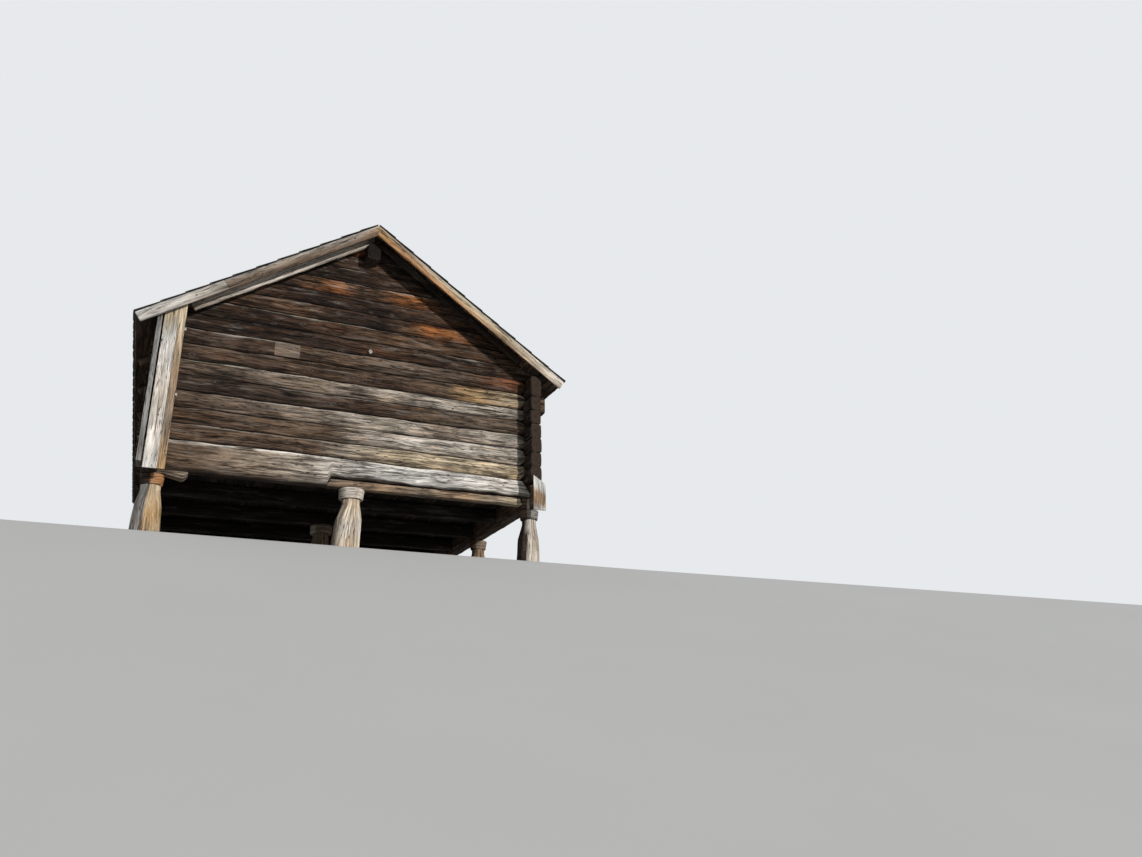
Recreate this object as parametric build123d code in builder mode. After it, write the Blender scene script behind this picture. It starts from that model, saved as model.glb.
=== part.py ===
from build123d import *
import math
import os

# Raised log granary on hewn posts with round caps and a gable roof.
# Millimetres. X runs along the gables, Y along the ridge, Z up.
# The front gable faces -Y. The origin is on the ground, under the middle of the roof.

# Log walls
wall_width = 5165.0
wall_length = 9000.0
course = 220.0
log_thickness = 160.0
bed_gap = 0.4
log_edge = 26.0
log_end_edge = 30.0
gable_log_reach = 105.0
side_log_reach = 285.0
full_courses = 7
gable_courses = 8
side_courses = 7

# Hollows hewn at the joints beside each crossing, where a log narrows towards its notch
shoulder_length = 80.0
shoulder_height = 30.0
shoulder_depth = 45.0

# How much further each course's ends reach, from the lowest log up, and the one long gable log
end_steps = (12.0, -16.0, 5.0, 18.0, -9.0, 14.0, -4.0)
long_log = 5
long_log_extra = 70.0

# Sill logs, which carry the walls
side_sill_bottom = 815.0
gable_sill_bottom = 870.0
gable_sill_top = 1270.0
sill_thickness = 180.0
sill_proud = 20.0
sill_edge = 34.0

# Right front corner, where the side sill's end is thinned and the gable sill's face is cut slanting
thinned_end = 85.0
thinned_back = 70.0
slant_gap = 1.0
slant_depth = 60.0
slant_width = 164.0
slant_low = 1030.0
prop_width = 30.0
prop_depth = 40.0
prop_inset = 105.0
prop_setback = 25.0

# Posts and their round caps
post_rows = 5
post_inset = 80.0
outer_post_shift = 40.0
middle_post_shift = -36.0
post_row_inset = 110.0
post_foot_width = 345.0
post_waist_width = 308.0
post_neck_width = 222.0
post_corner = 60.0
post_neck_height = 70.0
post_flare_height = 210.0
middle_post_lean = -45.0
right_post_lean = -20.0
right_post_share = 0.84
cap_height = 140.0
outer_cap_radius = 141.0
middle_cap_radius = 172.0
cap_narrowing = 12.0
cap_edge = 12.0
cap_sides = 24

# Floor
joist_width = 180.0
joist_height = 200.0
joist_seat = 60.0
joist_count = 7
floor_thickness = 35.0

# Roof
roof_pitch = 34.2
deck_level_at_wall = 2943.0
deck_thickness = 30.0
rafter_depth = 95.0
rafter_width = 90.0
rafter_count = 7
rafter_setback = 30.0
verge_rafter_reach = 110.0
verge_rafter_width = 70.0
verge_rafter_inset = 250.0
eave_reach = 333.0
gable_reach = 375.0
ridge_log_width = 180.0
ridge_log_bottom = 4240.0
ridge_log_reach = 240.0
barge_depth = 135.0
barge_thickness = 27.0
barge_joint_share = 0.33
cover_courses = 11
cover_lift = 34.0
cover_thin = 12.0
cover_eave_reach = 45.0
cover_gable_reach = 25.0

# Boards that case the log ends at the corners
casing_board_width = 162.0
casing_thickness = 28.0
casing_strip_width = 84.0
casing_joint = 1.0
casing_flank_thickness = 40.0
casing_outer_thickness = 55.0
casing_bottom = 785.0
casing_outer_bottom = 862.0

# Bearing timber under the right half of the front sill, and its stub on the left
bearing_height = 105.0
bearing_left_reach = 304.0
bearing_right_gap = 18.0
bearing_setback = 12.0
bearing_thickness = 150.0
end_slant = 45.0
stub_reach = 357.0
stub_drop = 47.0

# Remnant of the right front casing
remnant_setback = 20.0
remnant_width = 187.0
remnant_bottom = 732.0
remnant_left_top = 1240.0
remnant_right_top = 1115.0

half_width = wall_width / 2
half_length = wall_length / 2
pitch_cos = math.cos(math.radians(roof_pitch))
pitch_sin = math.sin(math.radians(roof_pitch))
pitch_tan = math.tan(math.radians(roof_pitch))
ridge_level = deck_level_at_wall + half_width * pitch_tan
side_sill_top = gable_sill_top - course / 2
side_top = side_sill_top + side_courses * course
lap_height = course / 2
bearing_top = gable_sill_bottom + bearing_height
sill_lap_level = bearing_top
row_step = (wall_length - 2 * post_row_inset) / (post_rows - 1)
joist_step = (wall_length - 2 * post_row_inset) / (joist_count + 1)
slope_length = (half_width + eave_reach) / pitch_cos
rafter_lift = -deck_thickness - rafter_depth
left_post_x = outer_post_shift + post_inset - half_width
middle_post_x = middle_post_shift
right_post_x = outer_post_shift + half_width - post_inset

os.makedirs("parts", exist_ok=True)


def save(builder, name):
    builder.part.label = name
    export_step(builder.part, f"parts/{name}.step")


def along_x(start):
    """A plane whose sketch is (Y, Z) and whose extrusion runs towards +X."""
    return Plane(origin=(start, 0, 0), x_dir=(0, 1, 0), z_dir=(1, 0, 0))


def along_y(back):
    """A plane whose sketch is (X, Z) and whose extrusion runs forward, towards -Y."""
    return Plane(origin=(0, back, 0), x_dir=(1, 0, 0), z_dir=(0, -1, 0))


def cut_box(low, high):
    """Removes the box between two corners from the part that is being built."""
    size = [b - a for a, b in zip(low, high)]
    middle = [(a + b) / 2 for a, b in zip(low, high)]
    with Locations(tuple(middle)):
        Box(*size, mode=Mode.SUBTRACT)


def add_log(plane, length, middle, bottom, top, thickness, edge, end_edge):
    """Adds a hewn log to the part that is being built, with its end faces' edges taken off."""
    with BuildPart() as log:
        with BuildSketch(plane) as section:
            with Locations((middle, (bottom + top) / 2)):
                Rectangle(thickness, top - bottom)
            chamfer(section.vertices(), edge)
        extrude(amount=length)
        if end_edge:
            ends = log.faces().filter_by(Plane(plane.origin, z_dir=plane.z_dir))
            chamfer(ends.edges(), end_edge)
    add(log.part)


def log_along_x(left, right, y, bottom, top, thickness, edge, end_edge=0.0):
    add_log(along_x(left), right - left, y, bottom, top, thickness, edge, end_edge)


def log_along_y(front, back, x, bottom, top, thickness, edge, end_edge=0.0):
    add_log(along_y(back), back - front, x, bottom, top, thickness, edge, end_edge)


def cut_shoulders(plane, tip, root, levels):
    """Cuts a three-cornered hollow at each joint's level, deepest at the crossing."""
    with BuildSketch(plane) as hollows:
        for level in levels:
            low, high = level - shoulder_height, level + shoulder_height
            Polygon((tip, level), (root, low), (root, high), align=None)
    extrude(hollows.sketch, amount=shoulder_depth, mode=Mode.SUBTRACT)


def slope_point(down, lift, side):
    """A point of the roof's cross-section: down the slope from the ridge and lifted off the deck's top."""
    x = side * (down * pitch_cos + lift * pitch_sin)
    return (x, ridge_level - down * pitch_sin + lift * pitch_cos)


def ridge_point(lift):
    """The point over the ridge line where both slopes meet at the same lift."""
    return (0, ridge_level + lift / pitch_cos)


def slope_strip(low_lift, high_lift, end, side):
    """One slope's cross-section between two lifts, plumb at the ridge and square at its lower end."""
    return [ridge_point(low_lift), slope_point(end, low_lift, side),
            slope_point(end, high_lift, side), ridge_point(high_lift)]


def cut_above_roof(lift, front, back):
    """Removes everything above both slopes at the given lift."""
    far = half_width + eave_reach
    high = ridge_level + far
    edge_level = ridge_level + lift / pitch_cos - far * pitch_tan
    with BuildSketch(along_y(back)) as above:
        Polygon(ridge_point(lift), (far, edge_level), (far, high), (-far, high), (-far, edge_level),
                align=None)
    extrude(above.sketch, amount=back - front, mode=Mode.SUBTRACT)


def crossing_low(side):
    """The lower X of the side wall's thickness, for the left wall (-1) or the right one (1)."""
    return -half_width if side < 0 else half_width - log_thickness


def sill_crossing_low(side):
    return -half_width - sill_proud if side < 0 else half_width + sill_proud - sill_thickness


def gable_low(end):
    """The lower Y of a gable's thickness, for the front (-1) or the back (1)."""
    return -half_length if end < 0 else half_length - log_thickness


def sill_gable_low(end):
    return -half_length - sill_proud if end < 0 else half_length + sill_proud - sill_thickness


def taper_angle(narrowing, height):
    return math.degrees(math.atan(narrowing / height))


def add_post(x, y, neck_top, share, lean):
    """Adds a hewn post: a long slow flare up from its foot, a short steep one and a straight neck."""
    neck = neck_top - post_neck_height
    waist = neck - post_flare_height
    sections = ((0, post_foot_width, lean), (waist, post_waist_width, lean / 2), (neck, post_neck_width, 0))
    with BuildPart() as post:
        for level, width, shift in sections:
            with BuildSketch(Plane(origin=(x + shift, y, level))) as section:
                Rectangle(share * width, share * width)
                chamfer(section.vertices(), share * post_corner)
        loft(ruled=True)
        extrude(post.faces().sort_by(Axis.Z)[-1], amount=post_neck_height)
    add(post.part)


def add_cap(x, y, top, radius):
    """Adds a round cap hewn to flat sides, a little narrower below and with its top edge taken off."""
    below_edge = cap_height - cap_edge
    with BuildSketch(Plane(origin=(x, y, top - cap_edge))) as widest:
        RegularPolygon(radius, cap_sides)
    extrude(widest.sketch, amount=cap_edge, taper=taper_angle(cap_edge, cap_edge))
    extrude(widest.sketch, amount=-below_edge, taper=taper_angle(cap_narrowing, below_edge))


# Each post's X, its cap's top and radius, its share of the full width and its lean
post_places = ((left_post_x, side_sill_bottom, outer_cap_radius, 1, 0),
               (middle_post_x, gable_sill_bottom, middle_cap_radius, 1, middle_post_lean),
               (right_post_x, side_sill_bottom, outer_cap_radius, right_post_share, right_post_lean))
for row in range(post_rows):
    row_y = -half_length + post_row_inset + row * row_step
    with BuildPart() as posts:
        for x, cap_top, radius, share, lean in post_places:
            add_post(x, row_y, cap_top - cap_height, share, lean)
    save(posts, f"posts_row_{row + 1}")
    with BuildPart() as caps:
        for x, cap_top, radius, share, lean in post_places:
            add_cap(x, row_y, cap_top, radius)
    save(caps, f"caps_row_{row + 1}")


# Side sills, half lapped under the gable sills, with sockets for the joists
def joist_y(number):
    return -half_length + post_row_inset + number * joist_step


right_sill_outer = sill_crossing_low(1) + sill_thickness
thinned_left = right_sill_outer - thinned_end
for name, side in (("left_sill", -1), ("right_sill", 1)):
    low = sill_crossing_low(side)
    inner = low + sill_thickness if side < 0 else low
    with BuildPart() as side_sill:
        log_along_y(-half_length - side_log_reach, half_length + side_log_reach, low + sill_thickness / 2,
                    side_sill_bottom, side_sill_top - bed_gap, sill_thickness, sill_edge)
        for end in (-1, 1):
            front = sill_gable_low(end)
            cut_box((low, front, sill_lap_level),
                    (low + sill_thickness, front + sill_thickness, side_sill_top))
        for number in range(1, joist_count + 1):
            y = joist_y(number)
            cut_box((inner - joist_seat, y - joist_width / 2, gable_sill_bottom),
                    (inner + joist_seat, y + joist_width / 2, gable_sill_bottom + joist_height))
        if side > 0:
            cut_box((low, -half_length - side_log_reach, side_sill_bottom),
                    (thinned_left, sill_gable_low(-1) + thinned_back, side_sill_top))
    save(side_sill, name)

# Gable sills
for name, end in (("front_sill", -1), ("back_sill", 1)):
    low_y = sill_gable_low(end)
    with BuildPart() as gable_sill:
        log_along_x(-half_width - gable_log_reach, half_width + gable_log_reach, low_y + sill_thickness / 2,
                    gable_sill_bottom, gable_sill_top - bed_gap, sill_thickness, sill_edge)
        for side in (-1, 1):
            low_x = sill_crossing_low(side)
            cut_box((low_x, low_y, gable_sill_bottom), (low_x + sill_thickness, low_y + sill_thickness,
                    sill_lap_level + bed_gap))
            low_x = crossing_low(side)
            cut_box((low_x, low_y, gable_sill_top - lap_height / 2),
                    (low_x + log_thickness, low_y + sill_thickness, gable_sill_top))
        if end < 0:
            bearing_left = middle_post_x - bearing_left_reach
            with BuildSketch(along_y(low_y + sill_thickness)):
                Polygon((bearing_left - end_slant, gable_sill_bottom), (bearing_left, bearing_top + bed_gap),
                        (half_width + gable_log_reach, bearing_top + bed_gap),
                        (half_width + gable_log_reach, gable_sill_bottom), align=None)
            extrude(amount=sill_thickness, mode=Mode.SUBTRACT)
            face_end = thinned_left - slant_gap
            far = half_width + gable_log_reach
            with BuildSketch(along_y(low_y + slant_depth)):
                Polygon((face_end - slant_width, gable_sill_top), (face_end, slant_low),
                        (face_end, bearing_top), (far, bearing_top), (far, gable_sill_top), align=None)
            extrude(amount=slant_depth, mode=Mode.SUBTRACT)
    save(gable_sill, name)

# Bearing timber under the front sill's right half, with slanted ends
bearing_back = -half_length + bearing_setback + bearing_thickness
bearing_right = sill_crossing_low(1) - bearing_right_gap
with BuildPart() as bearing_timber:
    with BuildSketch(along_y(bearing_back)):
        Polygon((bearing_left - end_slant, gable_sill_bottom), (bearing_right, gable_sill_bottom),
                (bearing_right - end_slant, bearing_top), (bearing_left, bearing_top), align=None)
    extrude(amount=bearing_thickness)
save(bearing_timber, "bearing_timber")

# Stub of the same timber, which rests on the left post's cap
stub_left = sill_crossing_low(-1) + sill_thickness
cap_right = left_post_x + outer_cap_radius - cap_edge
with BuildPart() as bearing_stub:
    with BuildSketch(along_y(bearing_back)):
        Polygon((stub_left, side_sill_bottom), (cap_right, side_sill_bottom),
                (stub_left + stub_reach - end_slant, side_sill_bottom - stub_drop),
                (stub_left + stub_reach, gable_sill_bottom - bed_gap),
                (stub_left, gable_sill_bottom - bed_gap), align=None)
    extrude(amount=bearing_thickness)
save(bearing_stub, "bearing_stub")

# Thin prop that stands on the right front cap under the gable sill's end
prop_y = sill_gable_low(-1) + prop_setback + prop_depth / 2
with BuildPart() as corner_prop:
    with BuildSketch(Plane(origin=(right_sill_outer - prop_inset, prop_y, side_sill_bottom))):
        Rectangle(prop_width, prop_depth)
    extrude(amount=sill_lap_level - side_sill_bottom)
save(corner_prop, "corner_prop")

# Floor joists, seated in the side sills and on the middle posts
joist_left = sill_crossing_low(-1) + sill_thickness - joist_seat
with BuildPart() as joists:
    for number in range(1, joist_count + 1):
        with BuildSketch(along_x(joist_left)):
            with Locations((joist_y(number), gable_sill_bottom + joist_height / 2)):
                Rectangle(joist_width, joist_height)
        extrude(amount=-2 * joist_left)
save(joists, "floor_joists")

floor_half_width = -joist_left - joist_seat
floor_half_length = half_length + sill_proud - sill_thickness
with BuildPart() as floor:
    with BuildSketch(Plane.XY.offset(gable_sill_bottom + joist_height)):
        Rectangle(2 * floor_half_width, 2 * floor_half_length)
    extrude(amount=floor_thickness)
save(floor, "floor")

# The ridge log's section, hewn on top to the rafters' slopes
ridge_side = ridge_log_width / 2
ridge_shoulder = ridge_point(rafter_lift)[1] - ridge_side * pitch_tan
ridge_log_outline = ((-ridge_side, ridge_log_bottom), (ridge_side, ridge_log_bottom),
                     (ridge_side, ridge_shoulder), ridge_point(rafter_lift), (-ridge_side, ridge_shoulder))

# Gable walls: full logs up to the side walls' top, then the gable's shorter logs
for end, place in ((-1, "front"), (1, "back")):
    low_y = gable_low(end)
    middle_y = low_y + log_thickness / 2
    with BuildPart() as wall:
        for number in range(full_courses):
            bottom = gable_sill_top + number * course
            reach = gable_log_reach + end_steps[number]
            right_reach = reach + (long_log_extra if end < 0 and number == long_log else 0)
            log_along_x(-half_width - reach, half_width + right_reach, middle_y,
                        bottom, bottom + course - bed_gap, log_thickness, log_edge, log_end_edge)
        for number in range(full_courses):
            level = gable_sill_top + number * course
            for side in (-1, 1):
                low_x = crossing_low(side)
                cut_box((low_x, low_y, level - lap_height / 2),
                        (low_x + log_thickness, low_y + log_thickness, level + lap_height / 2))
        levels = [gable_sill_top + number * course for number in range(full_courses)]
        crossing = half_width - log_thickness
        hollow_back = low_y + (shoulder_depth if end < 0 else log_thickness)
        for side in (-1, 1):
            cut_shoulders(along_y(hollow_back), side * (crossing - shoulder_length), side * crossing, levels)
        cut_above_roof(-deck_thickness, low_y, low_y + log_thickness)
    save(wall, f"{place}_wall_logs")
    with BuildPart() as gable:
        for number in range(full_courses, full_courses + gable_courses):
            bottom = gable_sill_top + number * course
            top = bottom + course - bed_gap
            if number == full_courses + gable_courses - 1:
                top += course / 2
            log_along_x(-half_width, half_width, middle_y, bottom, top, log_thickness, log_edge)
        cut_above_roof(-deck_thickness, low_y, low_y + log_thickness)
        with BuildSketch(along_y(low_y + log_thickness)):
            Polygon(*ridge_log_outline, align=None)
        extrude(amount=log_thickness, mode=Mode.SUBTRACT)
    save(gable, f"{place}_gable_logs")

# Side walls, whose top log is hewn to the roof's slope
for side, place in ((-1, "left"), (1, "right")):
    low_x = crossing_low(side)
    with BuildPart() as wall:
        for number in range(side_courses):
            bottom = side_sill_top + number * course
            top = bottom + course - bed_gap
            if number == side_courses - 1:
                top += course / 2
            front_reach = side_log_reach
            if side > 0 and number > 0:
                front_reach -= abs(end_steps[number])
            log_along_y(-half_length - front_reach, half_length + side_log_reach, low_x + log_thickness / 2,
                        bottom, top, log_thickness, log_edge, log_end_edge)
        for end in (-1, 1):
            sill_y = sill_gable_low(end)
            cut_box((low_x, sill_y, side_sill_top), (low_x + log_thickness, sill_y + sill_thickness,
                    side_sill_top + lap_height / 2))
            low_y = gable_low(end)
            for number in range(1, side_courses):
                level = side_sill_top + number * course
                cut_box((low_x, low_y, level - lap_height / 2),
                        (low_x + log_thickness, low_y + log_thickness, level + lap_height / 2))
            cut_box((low_x, low_y, side_top - lap_height / 2),
                    (low_x + log_thickness, low_y + log_thickness, side_top + course))
        levels = [side_sill_top + number * course for number in range(side_courses)]
        outer_start = low_x if side < 0 else low_x + log_thickness - shoulder_depth
        inner_start = low_x + log_thickness - shoulder_depth if side < 0 else low_x
        crossing = half_length - log_thickness
        for end in (-1, 1):
            cut_shoulders(along_x(outer_start), end * (crossing - shoulder_length), end * crossing, levels)
            tip = half_length + shoulder_length
            for start in (outer_start, inner_start):
                cut_shoulders(along_x(start), end * tip, end * half_length, levels)
        cut_above_roof(rafter_lift, -half_length - 2 * side_log_reach, half_length + 2 * side_log_reach)
    save(wall, f"{place}_wall_logs")

with BuildPart() as ridge_log:
    with BuildSketch(along_y(half_length + ridge_log_reach)):
        Polygon(*ridge_log_outline, align=None)
    extrude(amount=wall_length + 2 * ridge_log_reach)
save(ridge_log, "ridge_log")

# Rafters, deck, covering and barge boards, one set to each slope
rafter_end = slope_length - rafter_setback
rafter_step = wall_length / (rafter_count + 1)
verge_rafter_end = (half_width - verge_rafter_inset) / pitch_cos
verge_rafter_front = half_length + verge_rafter_reach
for side, place in ((-1, "left"), (1, "right")):
    with BuildPart() as rafters:
        for number in range(1, rafter_count + 1):
            y = -half_length + number * rafter_step
            with BuildSketch(along_y(y + rafter_width / 2)):
                Polygon(*slope_strip(rafter_lift, -deck_thickness, rafter_end, side), align=None)
            extrude(amount=rafter_width)
        for back in (-verge_rafter_front, verge_rafter_front + verge_rafter_width):
            with BuildSketch(along_y(back)):
                Polygon(*slope_strip(rafter_lift, -deck_thickness, verge_rafter_end, side), align=None)
            extrude(amount=verge_rafter_width)
    save(rafters, f"{place}_rafters")
    with BuildPart() as deck:
        with BuildSketch(along_y(half_length + gable_reach)):
            Polygon(*slope_strip(-deck_thickness, 0, slope_length, side), align=None)
        extrude(amount=wall_length + 2 * gable_reach)
    save(deck, f"{place}_roof_deck")
    with BuildPart() as covering:
        lap = (slope_length + cover_eave_reach) / cover_courses
        outline = [ridge_point(0), slope_point(slope_length + cover_eave_reach, 0, side)]
        for number in range(cover_courses, 0, -1):
            outline.append(slope_point(number * lap, cover_lift, side))
            if number > 1:
                outline.append(slope_point((number - 1) * lap, cover_thin, side))
        outline.append(ridge_point(cover_thin))
        with BuildSketch(along_y(half_length + gable_reach + cover_gable_reach + barge_thickness)):
            Polygon(*outline, align=None)
        extrude(amount=wall_length + 2 * (gable_reach + cover_gable_reach + barge_thickness))
    save(covering, f"{place}_roof_covering")


def barge(name, end, side, start, stop):
    """A board on the roof's gable edge, from one distance down the slope to another."""
    low = slope_point(stop, -barge_depth, side)
    high = slope_point(stop, 0, side)
    if start == 0:
        first = [ridge_point(0), ridge_point(-barge_depth)]
    else:
        first = [slope_point(start, 0, side), slope_point(start, -barge_depth, side)]
    back = -half_length - gable_reach if end < 0 else half_length + gable_reach + barge_thickness
    with BuildPart() as board:
        with BuildSketch(along_y(back)):
            Polygon(*first, low, high, align=None)
        extrude(amount=barge_thickness)
    save(board, name)


joint = slope_length * (1 - barge_joint_share)
barge("front_left_barge_upper", -1, -1, 0, joint)
barge("front_left_barge_lower", -1, -1, joint + bed_gap, slope_length)
barge("front_right_barge", -1, 1, 0, slope_length)
barge("back_left_barge", 1, -1, 0, slope_length)
barge("back_right_barge", 1, 1, 0, slope_length)


# Corner casings: a board over the side logs' ends, a strip beside it and a board on each flank
def casing(name, side, end):
    face = half_length + side_log_reach
    outer = half_width
    inner = half_width - log_thickness

    def board(x_a, x_b, depth_a, depth_b, bottom):
        xs = sorted((side * x_a, side * x_b))
        ys = sorted((end * depth_a, end * depth_b))
        with BuildSketch(Plane.XY.offset(bottom)) as outline:
            with Locations((sum(xs) / 2, sum(ys) / 2)):
                Rectangle(xs[1] - xs[0], ys[1] - ys[0])
        extrude(outline.sketch, amount=ridge_level - bottom)

    with BuildPart() as boards:
        board(outer, outer - casing_board_width, face, face + casing_thickness, casing_bottom)
        board(outer - casing_board_width - casing_joint, outer - casing_board_width - casing_strip_width,
              face, face + casing_thickness, casing_bottom)
        cut_above_roof(-deck_thickness, -face - 2 * casing_thickness, face + 2 * casing_thickness)
    save(boards, f"{name}_casing")
    with BuildPart() as flanks:
        board(inner - bed_gap, inner - casing_flank_thickness,
              half_length + sill_proud, face, gable_sill_top)
        board(outer + sill_proud, outer + sill_proud + casing_outer_thickness,
              half_length + sill_proud, face + casing_thickness, casing_outer_bottom)
        cut_above_roof(-deck_thickness, -face - 2 * casing_thickness, face + 2 * casing_thickness)
    save(flanks, f"{name}_casing_flanks")


casing("front_left", -1, -1)
casing("back_left", -1, 1)
casing("back_right", 1, 1)

# What is left of the right front casing, with its slanted top
remnant_left = sill_crossing_low(1) + remnant_setback
with BuildPart() as remnant:
    with BuildSketch(along_y(-half_length - side_log_reach)):
        Polygon((remnant_left, remnant_bottom), (remnant_left + remnant_width, remnant_bottom),
                (remnant_left + remnant_width, remnant_right_top), (remnant_left, remnant_left_top),
                align=None)
    extrude(amount=casing_thickness)
save(remnant, "front_right_casing_remnant")
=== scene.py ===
import bpy
import math
import numpy as np
from mathutils import Vector, Matrix


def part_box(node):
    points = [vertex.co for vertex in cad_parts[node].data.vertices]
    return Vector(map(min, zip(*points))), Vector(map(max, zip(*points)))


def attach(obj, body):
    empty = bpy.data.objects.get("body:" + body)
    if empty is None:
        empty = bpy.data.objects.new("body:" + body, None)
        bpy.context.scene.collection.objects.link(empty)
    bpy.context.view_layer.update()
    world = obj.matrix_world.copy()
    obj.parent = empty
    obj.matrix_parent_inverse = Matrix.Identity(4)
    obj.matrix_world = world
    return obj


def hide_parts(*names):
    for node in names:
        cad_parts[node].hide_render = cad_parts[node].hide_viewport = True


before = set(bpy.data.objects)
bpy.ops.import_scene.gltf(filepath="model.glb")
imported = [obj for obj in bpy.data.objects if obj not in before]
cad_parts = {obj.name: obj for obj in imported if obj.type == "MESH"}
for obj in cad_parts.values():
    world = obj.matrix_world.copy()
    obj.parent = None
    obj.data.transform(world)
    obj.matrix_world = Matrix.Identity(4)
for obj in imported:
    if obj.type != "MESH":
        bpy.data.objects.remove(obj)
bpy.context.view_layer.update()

# Looks of the raised log granary: hewn logs, boards, slates and posts in grey and brown timber.
# Metres. X runs along the gables, Y along the ridge, Z up. The front gable faces -Y.

X, Y, Z = np.eye(3)
ORIGIN = 0 * X
ACROSS, ALONG, UPRIGHT = (X, Y, Z), (Y, X, Z), (Z, X, Y)
BACK, FRONT = 1, -1
LEFT, RIGHT = -1, 1

# Sizes that the frame gives
wall_low, wall_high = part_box("front_gable_logs")
HALF_WIDTH = wall_high.x
HALF_LENGTH = -wall_low.y
LOG = wall_high.y - wall_low.y
GABLE_BASE = wall_low.z
sill_low, sill_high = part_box("front_sill")
SILL_BOTTOM = sill_low.z
SILL_FACE = -sill_low.y
SILL_THICK = sill_high.y - sill_low.y
side_sill_low, side_sill_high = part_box("right_sill")
SIDE_SILL_BOTTOM = side_sill_low.z
SIDE_REACH = side_sill_high.y
deck_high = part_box("right_roof_deck")[1]
RIDGE = deck_high.z
DECK_REACH = deck_high.y
COVER_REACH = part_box("right_roof_covering")[1].y
PITCH = math.radians(34.2)
COS, SIN, TAN = math.cos(PITCH), math.sin(PITCH), math.tan(PITCH)
DECK = 0.03
SLOPE_LENGTH = deck_high.x / COS
RIDGE_POINT = RIDGE * Z

# Sizes of the log walls
COURSE = 0.22
SILL_TOP = 1.27
SIDE_SILL_TOP = SILL_TOP - COURSE / 2
WALL_COURSES = 7
GABLE_COURSES = 8
KEPT_HALF = COURSE / 4
SHOULDER = 0.08
END_STEPS = (0.012, -0.016, 0.005, 0.018, -0.009, 0.014, -0.004)
GABLE_REACH = 0.105
SIDE_END_REACH = SIDE_REACH - HALF_LENGTH
LONG_LOG, LONG_LOG_EXTRA = 5, 0.07
LOG_GAP = 0.001
ROOF_GAP = 0.003


def linear(value):
    """A screen value from 0 to 255 as the light that a shader works with."""
    v = value / 255
    return v / 12.92 if v <= 0.04045 else ((v + 0.055) / 1.055) ** 2.4


PALETTE = {name: np.array([linear(v) for v in values]) for name, values in {
    "white": (214, 207, 198),
    "pale": (200, 191, 180),
    "silver": (176, 168, 156),
    "ash": (156, 144, 131),
    "straw": (184, 168, 142),
    "honey": (176, 146, 104),
    "cream": (208, 190, 162),
    "drab": (132, 118, 103),
    "taupe": (112, 98, 86),
    "umber": (104, 86, 70),
    "brown": (88, 70, 57),
    "bark": (70, 57, 48),
    "tar": (54, 43, 36),
    "black": (36, 30, 26),
    "orange": (158, 108, 66),
    "amber": (172, 124, 82),
    "rust": (118, 76, 50),
    "tan": (146, 122, 98),
    "slate": (74, 77, 82),
    "smoke": (128, 126, 123),
    "frost": (190, 187, 182),
}.items()}


def tones(places, at):
    """Colours along a timber: one named colour, or several blended between their places."""
    places = {0: places} if isinstance(places, str) else places
    named = np.array([PALETTE[name] for name in places.values()])
    return np.stack([np.interp(at, list(places), named[:, channel]) for channel in range(3)], -1)


def ripple(seed, at, wave=1.0, size=1.0):
    """A smooth uneven line through some seeded waves, about one size high."""
    rng = np.random.default_rng(seed)
    total = np.zeros_like(at, dtype=float)
    for number in range(1, 6):
        length = wave * rng.uniform(0.7, 1.3) / number
        total += np.sin(2 * math.pi * at / length + rng.uniform(0, 2 * math.pi)) / number
    return size * total / 1.6


def mottled(places, at, seed, wave, size, light=1):
    """Named colours along a timber, unevenly lighter and darker."""
    return tones(places, at) * (light + ripple(seed, at, wave, size))[:, None]


def bump_map(seed, along, round_share, size):
    """Shallow hollows and swellings over a timber's skin. They close up round the section."""
    rng = np.random.default_rng(seed)
    total = np.zeros(np.broadcast(along, round_share).shape)
    for number in range(8):
        length = rng.uniform(0.12, 1.1)
        turns = rng.integers(-3, 4)
        start = rng.uniform(0, 2 * math.pi)
        total += np.sin(2 * math.pi * (along / length + turns * round_share) + start)
    return size * total / 3


CORNERS = ((1, 1), (-1, 1), (-1, -1), (1, -1))


def ring_template(arc, flat):
    """Points round a rounded rectangle: where each lies between its corners, and which way it faces."""
    points = []
    for corner in range(4):
        here, after = np.array(CORNERS[corner]), np.array(CORNERS[(corner + 1) % 4])
        for step in range(arc + 1 + flat):
            angle = math.pi / 2 * (corner + min(step / arc, 1))
            share = max(step - arc, 0) / (flat + 1)
            points.append((*(here + share * (after - here)), math.cos(angle), math.sin(angle)))
    return np.array(points).T


def section_rings(template, s, wide, high, edge, seed, rough, belly, end_edge):
    """The middle of a timber's section at each station, and the ring of points round it."""
    u_w, u_h, c_w, c_h = template
    w_low, w_high, h_low, h_high = (np.broadcast_to(side, s.shape) for side in (*wide, *high))
    shrink = np.zeros(len(s))
    shrink[[0, -1]] = end_edge
    half_w = (w_high - w_low) / 2 - shrink
    half_h = (h_high - h_low) / 2 - shrink
    mid_w, mid_h = (w_low + w_high) / 2, (h_low + h_high) / 2
    radius = np.minimum(edge, np.minimum(half_w, half_h) * 0.98)
    round_share = np.arange(len(u_w)) / len(u_w)
    swell = bump_map(seed, s[:, None], round_share[None, :], rough)
    swell += belly * ((1 - u_w ** 2) * np.abs(c_h) ** 4 + (1 - u_h ** 2) * np.abs(c_w) ** 4)
    swell[[0, -1]] *= 0.3
    w = mid_w[:, None] + u_w * (half_w - radius)[:, None] + c_w * (radius[:, None] + swell)
    h = mid_h[:, None] + u_h * (half_h - radius)[:, None] + c_h * (radius[:, None] + swell)
    return mid_w, mid_h, w, h


def edge_light(template, top_highlight, dark_low):
    """How much a painted highlight lightens a timber's upper edges, and how much darker its underside is."""
    c_w, c_h = template[2:]
    light = 1 + top_highlight * np.clip(c_h - 0.25, 0, 1) * (np.abs(c_w) > 0.05)
    return light - dark_low * np.clip(-c_h, 0, 1)


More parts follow.
